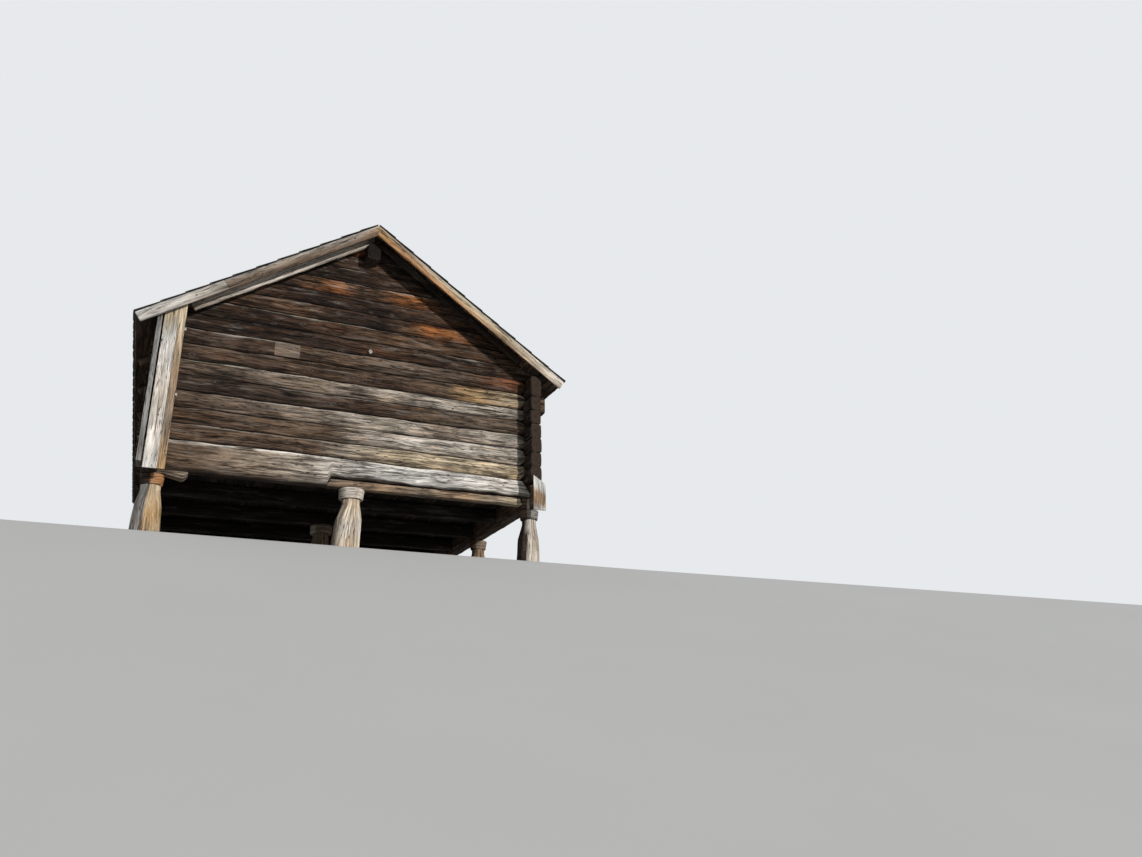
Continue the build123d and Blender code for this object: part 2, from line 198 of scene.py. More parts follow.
CORE = 0.55
SHARP_ANGLE = math.radians(38)


class Shape:
    """The points and faces of one piece, with the grain, end grain and colour of each face's corners."""

    def __init__(self):
        self.points, self.faces = [], []
        self.grain, self.section, self.tint = [], [], []
        self.count = 0

    def hew(self, axes, s, wide, high, edge, seed, tint, origin=ORIGIN, rough=0.003, belly=0.0,
            end_edge=0.008, bend=None, detail=(4, 3), top_highlight=0.0, dark_low=0.0, turned=False, paint=None,
            end_tint=None):
        """Adds a hewn timber along the first axis, through the stations s.

        wide and high are its low and high sides, each a number or one for each station. tint is its named
        colours or an array of colours. bend moves its points along the first axis, for ends cut aslant.
        The edge factors paint a highlight on its upper edges and darken its underside, paint changes its
        colours by place, and end_tint colours its end faces. turned lays the grain round it.
        """
        along, across, up = axes
        tint = tones(tint, s) if isinstance(tint, (str, dict)) else tint
        template = ring_template(*detail)
        mid_w, mid_h, w, h = section_rings(template, s, wide, high, edge, seed, rough, belly, end_edge)
        count, size = w.shape
        run = np.repeat(s[:, None], size, 1)
        colour = tint[:, None, :] * edge_light(template, top_highlight, dark_low)[None, :, None]
        if paint:
            colour = paint(colour, run, w, h)
        middle = count // 2
        steps = np.hypot(np.diff(w[middle], append=w[middle, :1]), np.diff(h[middle], append=h[middle, :1]))
        around = np.concatenate([[0], np.cumsum(steps)])

        # Each end gets one more ring, smaller than its last one and closed by a flat face
        row = np.clip(np.arange(-1, count + 1), 0, count - 1)
        scale = np.where(row == np.arange(-1, count + 1), 1, CORE)[:, None]
        off_w, off_h = (w - mid_w[:, None])[row] * scale, (h - mid_h[:, None])[row] * scale
        run, w, h = run[row], mid_w[row, None] + off_w, mid_h[row, None] + off_h
        if bend:
            run = bend(run, w, h)
        points = origin + run[..., None] * along + w[..., None] * across + h[..., None] * up
        mirrored = np.dot(np.cross(across, up), along) < 0

        def add_faces(rows, columns, is_end):
            """Faces between these rings and places round them. On an end the section is the grain too."""
            if mirrored:
                rows, columns = rows[:, ::-1], columns[:, ::-1]
            first, second = (s[row[rows]], around[columns])[::-1 if turned else 1]
            columns = columns % size
            section = [off_w[rows, columns], off_h[rows, columns], np.full(rows.shape, is_end)]
            tone = colour[row[rows], columns]
            if is_end:
                first, second = section[:2]
                tone = tone if end_tint is None else np.broadcast_to(PALETTE[end_tint], tone.shape)
            grain = [first + 3.7 * (seed % 97), second, np.full(rows.shape, seed % 31 + 0.5)]
            self.faces += (self.count + rows * size + columns).tolist()
            self.grain.append(np.stack(grain, -1).reshape(-1, 3))
            self.section.append(np.stack(section, -1).reshape(-1, 3))
            self.tint.append(np.pad(tone.reshape(-1, 3), ((0, 0), (0, 1)), constant_values=1))

        i, j = np.meshgrid(np.arange(count + 1), np.arange(size), indexing="ij")
        rows, columns = np.stack([i, i, i + 1, i + 1], -1), np.stack([j, j + 1, j + 1, j], -1)
        for part, is_end in ((slice(1, -1), 0), ([0, -1], 1)):
            add_faces(rows[part].reshape(-1, 4), columns[part].reshape(-1, 4), is_end)
        add_faces(np.repeat([[0], [count + 1]], size, 1), np.stack([j[0, ::-1], j[0]]), 1)
        self.points.append(points.reshape(-1, 3))
        self.count += points.size // 3

    def build(self, name, material, slot, *nodes):
        mesh = bpy.data.meshes.new(name)
        mesh.from_pydata(np.concatenate(self.points).tolist(), [], self.faces)
        for label, kind, field, values in (("grain", "FLOAT_VECTOR", "vector", self.grain),
                                           ("section", "FLOAT_VECTOR", "vector", self.section),
                                           ("tint", "FLOAT_COLOR", "color", self.tint)):
            layer = mesh.attributes.new(label, kind, "CORNER")
            layer.data.foreach_set(field, np.concatenate(values).astype(np.float32).ravel())
        mesh.shade_smooth()
        mesh.set_sharp_from_angle(angle=SHARP_ANGLE)
        mesh.materials.append(material)
        mesh.update()
        piece = bpy.data.objects.new(name, mesh)
        bpy.context.scene.collection.objects.link(piece)
        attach(piece, "root")
        if nodes:
            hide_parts(*nodes)

    def build_hewn(self, node, material, slot):
        """The piece that stands for a node, named after it."""
        self.build(f"hewn_{node}", material, slot, node)


def stations(start, stop, step, *more):
    """Places along a timber, even ones and some more where its shape changes."""
    count = max(3, int(round((stop - start) / step)) + 1)
    more = [place for place in (*more, start + 0.008, stop - 0.008) if start < place < stop]
    places = np.sort(np.concatenate([np.linspace(start, stop, count), more]))
    kept = [places[0]]
    for place in places[1:]:
        if place - kept[-1] > 0.004:
            kept.append(place)
    kept[-1] = stop
    return np.array(kept)


# Materials

class Tree:
    """A material's nodes, with short calls for the kinds that the looks here are made of."""

    def __init__(self, name):
        self.material = bpy.data.materials.new(name)
        self.material.use_nodes = True
        self.tree = self.material.node_tree
        self.shader = self.tree.nodes["Principled BSDF"]

    def node(self, kind, inputs, output=0, **settings):
        node = self.tree.nodes.new(kind)
        for key, value in settings.items():
            setattr(node, key, value)
        for key, value in inputs.items():
            self.feed(node.inputs[key], value)
        return node.outputs[output]

    def feed(self, socket, value):
        if isinstance(value, bpy.types.NodeSocket):
            self.tree.links.new(value, socket)
        else:
            socket.default_value = value

    def attribute(self, name, output):
        return self.node("ShaderNodeAttribute", {}, output, attribute_name=name)

    def scaled(self, vector, factors):
        return self.node("ShaderNodeVectorMath", {0: vector, 1: factors}, operation="MULTIPLY")

    def noise(self, vector, detail=2.0, roughness=0.5, distortion=0.0):
        inputs = {"Vector": vector, "Scale": 1.0, "Detail": detail, "Roughness": roughness,
                  "Distortion": distortion}
        return self.node("ShaderNodeTexNoise", inputs)

    def cells(self, vector, output="Distance"):
        return self.node("ShaderNodeTexVoronoi", {"Vector": vector, "Scale": 1.0}, output)

    def math(self, operation, a, b=0.0):
        return self.node("ShaderNodeMath", {0: a, 1: b}, operation=operation)

    def plus(self, a, b):
        return self.math("ADD", a, b)

    def times(self, a, b):
        return self.math("MULTIPLY", a, b)

    def span(self, value, low, high, to_low=0.0, to_high=1.0):
        inputs = {"Value": value, "From Min": low, "From Max": high, "To Min": to_low, "To Max": to_high}
        return self.node("ShaderNodeMapRange", inputs)

    def mix(self, share, a, b, blend="MIX"):
        inputs = {"Factor": share, 6: a, 7: b}
        return self.node("ShaderNodeMix", inputs, 2, data_type="RGBA", blend_type=blend)

    def shaded(self, colour, light):
        """The colour times a light, or times one for each channel."""
        return self.mix(1.0, colour, light, "MULTIPLY")

    def bump(self, height, strength, distance):
        return self.node("ShaderNodeBump", {"Height": height, "Strength": strength, "Distance": distance})

    def finish(self, colour, roughness, normal, specular=0.2):
        self.feed(self.shader.inputs["Base Color"], colour)
        self.feed(self.shader.inputs["Roughness"], roughness)
        self.feed(self.shader.inputs["Normal"], normal)
        self.shader.inputs["Specular IOR Level"].default_value = specular
        return self.material


# How often each pattern changes in a metre along the grain and round the timber, and its own layer
HAIR, FINE, BROAD = (7.0, 250.0, 1.0), (3.5, 85.0, 1.0), (2.2, 27.0, 1.0)
PATCHES, OTHER_PATCHES = (1.8, 17.0, 1.0), (1.6, 12.0, 2.0)
THIN_CRACKS, WIDE_CRACKS = (0.9, 26.0, 3.0), (0.7, 15.0, 7.0)
KNOTS, PITS = (5.5, 9.0, 5.0), (6.5, 30.0, 9.0)
WANDER, HIGHLIGHT_LOGS = (1.3, 3.0, 1.0), (0.3, 0.0, 1.7)
END_SPOTS, END_SPLITS = (30.0, 30.0, 1.0), (13.0, 13.0, 1.0)

# What weather does to a timber's own colour: factors, and the grey that it fades to. Also a darker factor
# for the lower part of logs, and the cream of a painted highlight along their upper edges
WARM, DARK, LOWER_DARK = (1.30, 0.92, 0.62, 1), (0.42, 0.38, 0.35, 1), (0.50, 0.46, 0.43, 1)
KNOTTED, CRACKED = (0.36, 0.26, 0.19, 1), (0.16, 0.13, 0.11, 1)
BLEACHED, HIGHLIGHT_CREAM = (0.42, 0.40, 0.37, 1), (0.62, 0.57, 0.50, 1)


def thin_lines(tree, value, width):
    """Thin lines where a noise passes its middle value."""
    away = tree.math("ABSOLUTE", tree.math("SUBTRACT", value, 0.5))
    return tree.span(away, 0.0, width, 1.0, 0.0)


def wandering(tree, grain):
    """The grain's place, moved a little to and fro round the timber."""
    wander = tree.noise(tree.scaled(grain, WANDER), 1.0)
    shift = tree.node("ShaderNodeCombineXYZ", {1: tree.times(wander, 0.06)})
    return tree.node("ShaderNodeVectorMath", {0: grain, 1: shift}, operation="ADD")


def cracks_in(tree, wavy, patch, other, width):
    """Thin and wide cracks along the grain, each kind in its own patches."""
    thin = thin_lines(tree, tree.noise(tree.scaled(wavy, THIN_CRACKS), 2.0, 0.55), 0.022 * width)
    wide = thin_lines(tree, tree.noise(tree.scaled(wavy, WIDE_CRACKS), 3.0, 0.6), 0.026 * width)
    thin = tree.times(thin, tree.span(patch, 0.43, 0.52))
    return tree.math("MAXIMUM", thin, tree.times(wide, tree.span(other, 0.54, 0.46)))


def knots_in(tree, grain, amount):
    """A few small knots, the pale halo round each, and their rings."""
    cells = tree.scaled(grain, KNOTS)
    away = tree.cells(cells)
    chosen = tree.node("ShaderNodeSeparateColor", {0: tree.cells(cells, "Color")})
    few = tree.span(chosen, 0.62, 0.64, 0.0, amount)
    knot = tree.times(tree.span(away, 0.07, 0.12, 1.0, 0.0), few)
    halo = tree.times(tree.span(away, 0.10, 0.30, 0.22, 0.0), few)
    return knot, halo, tree.math("SINE", tree.times(away, 160.0))


def pits_in(tree, grain, patch, amount):
    """Small pits where the weather has eaten into the timber."""
    away = tree.cells(tree.scaled(grain, PITS))
    return tree.times(tree.span(away, 0.13, 0.24, 1.0, 0.0), tree.span(patch, 0.52, 0.42, 0.0, amount))


def weathered(tree, tint, streaks, patch, other, warm, contrast):
    """The tint with streaks and with warm, bleached and dark patches, and the bleached colour alone."""
    light = tree.math("MINIMUM", tree.math("POWER", streaks, 4.2 * contrast), 1.5)
    colour = tree.shaded(tint, light)
    colour = tree.mix(tree.times(tree.span(patch, 0.52, 0.66), warm), colour, tree.shaded(colour, WARM))
    bleached = tree.mix(0.5, colour, BLEACHED)
    colour = tree.mix(tree.span(other, 0.56, 0.72, 0.0, 0.45 * contrast), colour, bleached)
    dark_share = tree.span(other, 0.45, 0.33, 0.0, 0.75 * contrast)
    return tree.mix(dark_share, colour, tree.shaded(colour, DARK)), bleached


def darker_lower_part(tree, colour, height_in_log, patch, amount):
    """Dark clouds on the lower part of a lying log."""
    clouds = tree.plus(height_in_log, tree.span(patch, 0.35, 0.65, -0.06, 0.10))
    return tree.mix(tree.span(clouds, 0.02, -0.06, 0.0, amount), colour, tree.shaded(colour, LOWER_DARK))


def painted_highlight_line(tree, colour, grain, height_in_log, other, amount):
    """A thin painted highlight along the upper edge of some logs."""
    lit = tree.plus(height_in_log, tree.span(other, 0.35, 0.65, -0.010, 0.006))
    some = tree.span(tree.noise(tree.scaled(grain, HIGHLIGHT_LOGS), 1.0), 0.48, 0.54)
    share = tree.times(tree.span(lit, 0.085, 0.094, 0.0, amount), some)
    return tree.mix(share, colour, tree.mix(0.6, colour, HIGHLIGHT_CREAM))


def end_grain(tree, section, tint):
    """The colour and height of a sawn end: rings round its middle, and splits."""
    spot = tree.noise(tree.scaled(section, END_SPOTS), 2.0)
    flat = tree.scaled(section, (1.0, 1.0, 0.0))
    reach = tree.node("ShaderNodeVectorMath", {0: flat}, "Value", operation="LENGTH")
    ring = tree.math("SINE", tree.times(tree.plus(reach, tree.times(spot, 0.02)), 900.0))
    split = thin_lines(tree, tree.noise(tree.scaled(section, END_SPLITS), 1.0), 0.012)
    light = tree.plus(tree.span(ring, -1.0, 1.0, 0.62, 0.92), tree.span(spot, 0.3, 0.7, -0.12, 0.12))
    colour = tree.mix(split, tree.shaded(tint, light), tree.shaded(tint, CRACKED))
    return colour, tree.math("SUBTRACT", tree.times(ring, 0.1), split)


def timber(name, warm=0.5, contrast=1.0, cracks=1.0, knots=1.0, pits=0.5, lower_dark=0.0, pale=0.0):
    """Weathered timber: streaks along the grain, warm and silver patches, cracks, knots and end rings."""
    tree = Tree(name)
    grain = tree.attribute("grain", "Vector")
    section = tree.attribute("section", "Vector")
    tint = tree.attribute("tint", "Color")
    height_in_log = tree.node("ShaderNodeSeparateXYZ", {0: section}, 1)
    is_end = tree.node("ShaderNodeSeparateXYZ", {0: section}, 2)

    wavy = wandering(tree, grain)
    hair = tree.noise(tree.scaled(wavy, HAIR), 2.0)
    fine = tree.noise(tree.scaled(wavy, FINE), 3.0, 0.65)
    broad = tree.noise(tree.scaled(wavy, BROAD), 4.0, 0.7)
    patch = tree.noise(tree.scaled(wavy, PATCHES), 4.0, 0.65, 0.6)
    other = tree.noise(tree.scaled(wavy, OTHER_PATCHES), 4.0, 0.65, 0.4)
    knot, halo, knot_rings = knots_in(tree, grain, knots)
    crack = cracks_in(tree, wavy, patch, other, cracks)
    gap = tree.math("MAXIMUM", crack, pits_in(tree, grain, patch, pits))

    streaks = tree.plus(tree.times(fine, 0.7), tree.times(broad, 1.3))
    colour, bleached = weathered(tree, tint, streaks, patch, other, warm, contrast)
    if lower_dark:
        colour = darker_lower_part(tree, colour, height_in_log, patch, lower_dark)
    # A painted highlight: a thin pale line along the upper edge of some logs
    if pale:
        colour = painted_highlight_line(tree, colour, grain, height_in_log, other, pale)
    knotted = tree.shaded(colour, KNOTTED)
    colour = tree.mix(knot, tree.mix(halo, colour, bleached), knotted)
    colour = tree.mix(gap, colour, tree.shaded(colour, CRACKED))
    end_colour, end_height = end_grain(tree, section, tint)
    colour = tree.mix(is_end, colour, end_colour)

    height = tree.plus(tree.times(fine, 0.6), broad)
    height = tree.plus(height, tree.times(hair, 0.15))
    height = tree.plus(height, tree.times(tree.times(knot_rings, knot), 0.12))
    height = tree.math("SUBTRACT", height, gap)
    height = tree.node("ShaderNodeMix", {"Factor": is_end, 2: height, 3: end_height})
    return tree.finish(colour, tree.span(fine, 0.3, 0.7, 0.72, 0.94), tree.bump(height, 0.9, 0.012))


LICHEN = (0.24, 0.24, 0.20, 1)


def slate():
    """Split slate: grey-blue, a little banded, with lichen flecks and a rough skin."""
    tree = Tree("slate")
    grain = tree.attribute("grain", "Vector")
    tint = tree.attribute("tint", "Color")
    cloud = tree.noise(tree.scaled(grain, (6.0, 6.0, 3.0)), 4.0, 0.6)
    skin = tree.noise(tree.scaled(grain, (40.0, 26.0, 3.0)), 3.0, 0.6)
    fleck = tree.noise(tree.scaled(grain, (22.0, 22.0, 5.0)), 2.0)
    colour = tree.shaded(tint, tree.span(cloud, 0.3, 0.7, 0.7, 1.3))
    colour = tree.mix(tree.span(fleck, 0.60, 0.78, 0.0, 0.3), colour, LICHEN)
    height = tree.plus(skin, tree.times(cloud, 0.6))
    return tree.finish(colour, tree.span(skin, 0.3, 0.7, 0.75, 0.9), tree.bump(height, 0.6, 0.004), 0.08)


WALL_TIMBER = timber("wall_timber", warm=0.4, contrast=1.35, pits=1.0, lower_dark=0.8, pale=0.9)
DARK_TIMBER = timber("dark_timber", warm=0.9, contrast=1.6, pits=1.0, lower_dark=0.7, pale=0.5)
HIDDEN_TIMBER = timber("hidden_timber", warm=0.4, contrast=0.9, knots=0.0)
SILL_TIMBER = timber("sill_timber", warm=0.1, contrast=0.95, cracks=1.2, pits=0.9)
BOARD_TIMBER = timber("board_timber", warm=0.15, contrast=0.6, cracks=0.5)
POST_TIMBER = timber("post_timber", warm=0.45, contrast=0.6, cracks=0.7, knots=0.8)
SLATE = slate()


# Log walls

FRONT_WALL, BACK_WALL, LEFT_WALL, RIGHT_WALL = 1, 2, 3, 4
JOINT_DROPS = {0: 0.045, 1: 0.036, 5: 0.036}
JOINT_WAVE = 0.006
BESIDE_CROSSING = (0, 0.004, 0.02, SHOULDER / 2, SHOULDER)
NECK_HALF = 0.08


def joint_shift(wall, number, at):
    """How far the joint under a wall's log wanders from its level, the same for both its logs."""
    shift = ripple(1000 * wall + number, at, 2.6, JOINT_WAVE)
    if wall == FRONT_WALL and number in JOINT_DROPS:
        share = np.clip((at + HALF_WIDTH) / (2 * HALF_WIDTH), 0, 1)
        shift = shift - JOINT_DROPS[number] * share ** 2
    return shift


def joints(wall, number, s, level):
    """A log's underside and top, between its two wandering joints."""
    low = level + joint_shift(wall, number, s) + LOG_GAP
    return low, level + COURSE + joint_shift(wall, number + 1, s) - LOG_GAP


def notched(at, sides, kept_level, crossings):
    """A log's underside and top, narrowed in a slope and then to the kept half at each crossing."""
    away = np.min([np.maximum(start - at, at - stop) for start, stop in crossings], 0)
    share = np.clip(1 - away / SHOULDER, 0, 1) ** 1.5
    narrowed = []
    for side, way in zip(sides, (-1, 1)):
        slope = side + share * (kept_level + way * NECK_HALF - side)
        narrowed.append(np.where(away < 0.002, kept_level + way * KEPT_HALF, slope))
    return narrowed


def crossing_stations(start, stop, step, crossings):
    more = []
    for low, high in crossings:
        more.append((low + high) / 2)
        for away in BESIDE_CROSSING:
            more += [low - away, high + away]
    return stations(start, stop, step, *more)


# Colours along each log, from the lowest up
FRONT_LOG_TONES = (
    {-2.5: "brown", -1.6: "umber", -0.6: "umber", -0.2: "ash", 0.5: "straw", 1.6: "cream", 2.3: "straw",
     2.6: "drab"},
    {-2.5: "brown", -1.4: "umber", -0.4: "umber", -0.1: "ash", 0.8: "pale", 1.8: "silver", 2.35: "silver",
     2.6: "drab"},
    {-2.5: "umber", -1.2: "taupe", -0.5: "ash", 0.6: "silver", 0.95: "ash", 1.05: "drab", 1.4: "ash",
     2.2: "silver", 2.6: "drab"},
    {-2.5: "bark", -0.9: "bark", 0.2: "brown", 0.9: "umber", 1.9: "taupe", 2.6: "umber"},
    {-2.5: "umber", -1.5: "taupe", -0.8: "drab", 0.0: "ash", 1.0: "silver", 2.1: "silver", 2.6: "taupe"},
    {-2.5: "brown", -0.6: "brown", 0.5: "brown", 1.2: "umber", 1.6: "honey", 2.2: "straw", 2.6: "umber"},
    {-2.5: "bark", -1.3: "brown", -0.2: "umber", 0.9: "taupe", 1.6: "brown", 2.2: "rust", 2.6: "brown"},
)
GABLE_LOG_TONES = (
    {-2.5: "tar", -0.8: "bark", 0.3: "brown", 1.4: "bark", 2.5: "brown"},
    {-2.5: "bark", -1.5: "tar", -0.4: "brown", 0.8: "umber", 2.2: "brown"},
    {-2.0: "brown", -1.4: "umber", -0.8: "umber", -0.5: "bark", 0.3: "tar", 0.6: "umber", 1.0: "orange",
     1.4: "orange", 1.7: "brown"},
    {-1.8: "brown", -0.9: "tar", 0.1: "bark", 0.9: "brown", 1.6: "brown"},
    {-1.4: "bark", -0.9: "umber", -0.5: "orange", -0.15: "brown", 0.2: "umber", 0.6: "orange",
     0.9: "amber", 1.2: "umber"},
    {-1.0: "tar", -0.2: "tar", 0.5: "brown", 1.0: "bark"},
    {-0.7: "bark", 0.1: "brown", 0.6: "bark"},
    {-0.4: "brown", -0.2: "orange", 0.0: "umber", 0.2: "bark", 0.4: "tar"},
)
BACK_LOG_TONES = {-2.5: "taupe", -1.0: "umber", 0.4: "drab", 1.6: "taupe", 2.6: "umber"}
# The dark front ends are painted shade on the flanks of the ends that stand out past the front gable
SIDE_LOG_TONES = (
    {-4.8: "tar", -4.5: "tar", -4.3: "umber", -1.5: "taupe", 1.2: "drab", 4.8: "taupe"},
    {-4.8: "black", -4.5: "tar", -4.3: "brown", -2.0: "umber", 1.5: "taupe", 4.8: "umber"},
)
WALL_LIGHT, GABLE_LIGHT = 0.80, 0.66
GABLE_WARMTH = np.array([1.0, 0.90, 0.82])
TOP_LOG_EXTRA = 0.098


def gable_sides(end, proud, seed, s, wave):
    """The inner and outer side of a gable's log, with an uneven face."""
    face = end * (HALF_LENGTH + proud + ripple(seed + 50, s, wave, 0.004))
    inner_face = end * (HALF_LENGTH - LOG)
    return np.minimum(face, inner_face), np.maximum(face, inner_face)


def gable_wall(end, node, wall):
    """The full logs of one gable, which cross the side walls' logs."""
    shape = Shape()
    crossings = ((-HALF_WIDTH, LOG - HALF_WIDTH), (HALF_WIDTH - LOG, HALF_WIDTH))
    for number in range(WALL_COURSES):
        reach = GABLE_REACH + END_STEPS[number]
        extra = LONG_LOG_EXTRA if end == FRONT and number == LONG_LOG else 0
        s = crossing_stations(-HALF_WIDTH - reach, HALF_WIDTH + reach + extra, 0.034, crossings)
        level = SILL_TOP + number * COURSE
        tall = notched(s, joints(wall, number, s, level), level + COURSE / 2, crossings)
        seed = 100 * wall + number
        places = FRONT_LOG_TONES[number] if end == FRONT else BACK_LOG_TONES
        tint = mottled(places, s, seed + 20, 0.7, 0.12, WALL_LIGHT)
        wide = gable_sides(end, 0.005 * math.sin(2.3 * number + wall), seed, s, 1.9)
        shape.hew(ACROSS, s, wide, tall, 0.024, seed, tint, belly=0.006, top_highlight=0.2, dark_low=0.75)
    shape.build_hewn(node, WALL_TIMBER, "log_walls")


def under_roof(lift, z):
    """How far from the middle the roof, at that lift off the deck's top, passes the height z."""
    return (RIDGE + lift / COS - z) / TAN


def gable_top(end, node, wall):
    """The shorter logs of one gable, with ends cut to the roof's slope."""
    shape = Shape()
    for number in range(GABLE_COURSES):
        level = GABLE_BASE + number * COURSE
        reach = min(HALF_WIDTH, under_roof(-DECK, level)) - 0.002
        s = stations(-reach, reach, 0.034)
        low, high = joints(wall, WALL_COURSES + number, s, level)
        if number == GABLE_COURSES - 1:
            high = level + COURSE + TOP_LOG_EXTRA

        def cut_to_roof(run, w, h, reach=reach):
            limit = np.minimum(HALF_WIDTH, under_roof(-DECK - ROOF_GAP, h)) - 0.002
            return run / reach * np.maximum(np.minimum(limit, reach), 0.002)

        seed = 100 * wall + 30 + number
        places = GABLE_LOG_TONES[number] if end == FRONT else BACK_LOG_TONES
        tint = mottled(places, s, seed + 20, 0.6, 0.12, GABLE_LIGHT) * GABLE_WARMTH
        shape.hew(ACROSS, s, gable_sides(end, -ROOF_GAP, seed, s, 1.7), (low, high), 0.022, seed, tint,
                  belly=0.004, bend=cut_to_roof, top_highlight=0.2, dark_low=0.75)
    shape.build_hewn(node, DARK_TIMBER if end == FRONT else WALL_TIMBER, "log_walls")


def side_wall(side, node, wall):
    """The logs of one side wall. The top one is about half a course taller, with a level top."""
    shape = Shape()
    crossings = ((-HALF_LENGTH, LOG - HALF_LENGTH), (HALF_LENGTH - LOG, HALF_LENGTH))
    faces = sorted((side * HALF_WIDTH, side * (HALF_WIDTH - LOG)))
    for number in range(WALL_COURSES):
        front_reach = SIDE_END_REACH - (abs(END_STEPS[number]) if side == RIGHT and number else 0)
        back_reach = SIDE_END_REACH - 0.001
        s = crossing_stations(-HALF_LENGTH - front_reach, HALF_LENGTH + back_reach, 0.075, crossings)
        level = SIDE_SILL_TOP + number * COURSE
        low, high = joints(wall, number, s, level)
        if number == WALL_COURSES - 1:
            high = 0 * s + level + COURSE * 1.5 - 0.018
        tall = notched(s, (low, high), level + COURSE / 2, crossings)
        seed = 100 * wall + number
        shift = 0.003 * math.sin(1.9 * number + wall) * side
        tint = mottled(SIDE_LOG_TONES[number % 2], s, seed + 20, 0.9, 0.12)
        shape.hew(ALONG, s, (faces[0] + shift, faces[1] + shift), tall, 0.028, seed, tint, belly=0.004,
                  top_highlight=0.35, dark_low=0.5, end_tint="bark")
    shape.build_hewn(node, WALL_TIMBER, "log_walls")


# Sills and the timbers under them

FRONT_SILL_TONES = {-2.7: "brown", -2.0: "umber", -1.3: "drab", -0.7: "ash", 0.1: "frost", 1.0: "frost",
                    2.5: "white"}
SILL_CUT_TOP, SILL_CUT_END, SILL_CUT_LEVEL = 2.3525, 2.5165, 1.03
PLAIN_SILL_END = 1.8
SILL_LEVEL = SILL_TOP - 0.002
BACK_PART_SETBACK = 0.062
BEARING_SLANT = 0.045
bearing_low, bearing_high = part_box("bearing_timber")
OVER_BEARING = bearing_high.z + 0.003


def front_sill_low(s):
    """The front sill's underside, which steps up over the bearing timber and is uneven there."""
    step = np.clip((s - bearing_low.x) / BEARING_SLANT, 0, 1)
    low = SILL_BOTTOM + (OVER_BEARING - SILL_BOTTOM) * step
    return low + np.where(step > 0, 0.012 * (1 + np.sin(9 * s) * np.sin(5.3 * s + 1)), 0)


def cut_sill_end(run, w, h):
    """The front sill's right end, cut aslant above a level."""
    slope = (h - SILL_CUT_LEVEL) / (SILL_TOP - SILL_CUT_LEVEL)
    limit = SILL_CUT_END - np.clip(slope, 0, 1) * (SILL_CUT_END - SILL_CUT_TOP)
    share = np.clip((run - PLAIN_SILL_END) / (SILL_CUT_END - PLAIN_SILL_END), 0, 1)
    return np.where(run > PLAIN_SILL_END, PLAIN_SILL_END + share * (limit - PLAIN_SILL_END), run)


def sill_bands(low, high):
    """The paint of the front sill: a dark band along its underside, widest on the left, and a painted
    highlight along its top.
    """

    def paint(colour, run, w, h):
        edge = 0.08 + 0.015 * np.sin(5 * run) - 0.045 * np.clip(run + 0.4, 0, 1)
        share = np.clip(1 - (h - low[:, None]) / edge, 0, 1) ** 0.6
        colour = colour + 0.9 * share[..., None] * (PALETTE["tar"] - colour)
        # A painted highlight along the sill's top edge, stronger on the left
        lit = np.clip((h - high[:, None] + 0.035) / 0.015, 0, 1) * np.clip(1.3 - run, 0.3, 0.9)
        return colour + lit[..., None] * (PALETTE["white"] - colour)

    return paint


def front_sill():
    """The front sill, and the part behind its slanting end that lies on the right sill."""
    shape = Shape()
    s = stations(sill_low.x, SILL_CUT_END, 0.03, bearing_low.x, bearing_low.x + BEARING_SLANT)
    low = front_sill_low(s)
    high = SILL_LEVEL + joint_shift(FRONT_WALL, 0, s)
    shape.hew(ACROSS, s, (-SILL_FACE, SILL_THICK - SILL_FACE), (low, high), 0.03, 60,
              mottled(FRONT_SILL_TONES, s, 61, 0.6, 0.08), belly=0.004, bend=cut_sill_end, top_highlight=0.8,
              dark_low=0.6, detail=(4, 9), paint=sill_bands(low, high))
    back = stations(SILL_CUT_TOP - 0.2, sill_high.x, 0.04)
    shape.hew(ACROSS, back, (BACK_PART_SETBACK - SILL_FACE, SILL_THICK - SILL_FACE),
              (OVER_BEARING, SILL_LEVEL), 0.03, 62, "brown")
    shape.build_hewn("front_sill", SILL_TIMBER, "sills")


def back_sill():
    shape = Shape()
    s = stations(sill_low.x, sill_high.x, 0.05)
    shape.hew(ACROSS, s, (SILL_FACE - SILL_THICK, SILL_FACE), (SILL_BOTTOM, SILL_LEVEL), 0.032, 64,
              {-2.7: "taupe", 0: "drab", 2.7: "umber"}, belly=0.004, dark_low=0.4)
    shape.build_hewn("back_sill", SILL_TIMBER, "sills")


# The left sill's dark front end is painted shade on its unlit underside
SIDE_SILL_TONES = {LEFT: {-4.8: "bark", -1.0: "umber", 4.8: "drab"},
                   RIGHT: {-4.8: "umber", -1.0: "brown", 4.8: "drab"}}
THINNED_END, THINNED = -4.45, 0.085


def side_sill(side, name):
    """A side sill. The right one's front end is thinned to its outer face."""
    shape = Shape()
    low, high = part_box(f"{name}_sill")
    s = stations(low.y, high.y, 0.06, THINNED_END - 0.01, THINNED_END + 0.01)
    left_side = low.x + 0 * s
    if side == RIGHT:
        left_side = np.where(s < THINNED_END, high.x - THINNED, left_side)
    shape.hew(ALONG, s, (left_side, high.x), (low.z, high.z), 0.032, 66 + side, SIDE_SILL_TONES[side],
              belly=0.003, dark_low=0.4)
    shape.build_hewn(f"{name}_sill", SILL_TIMBER, "sills")


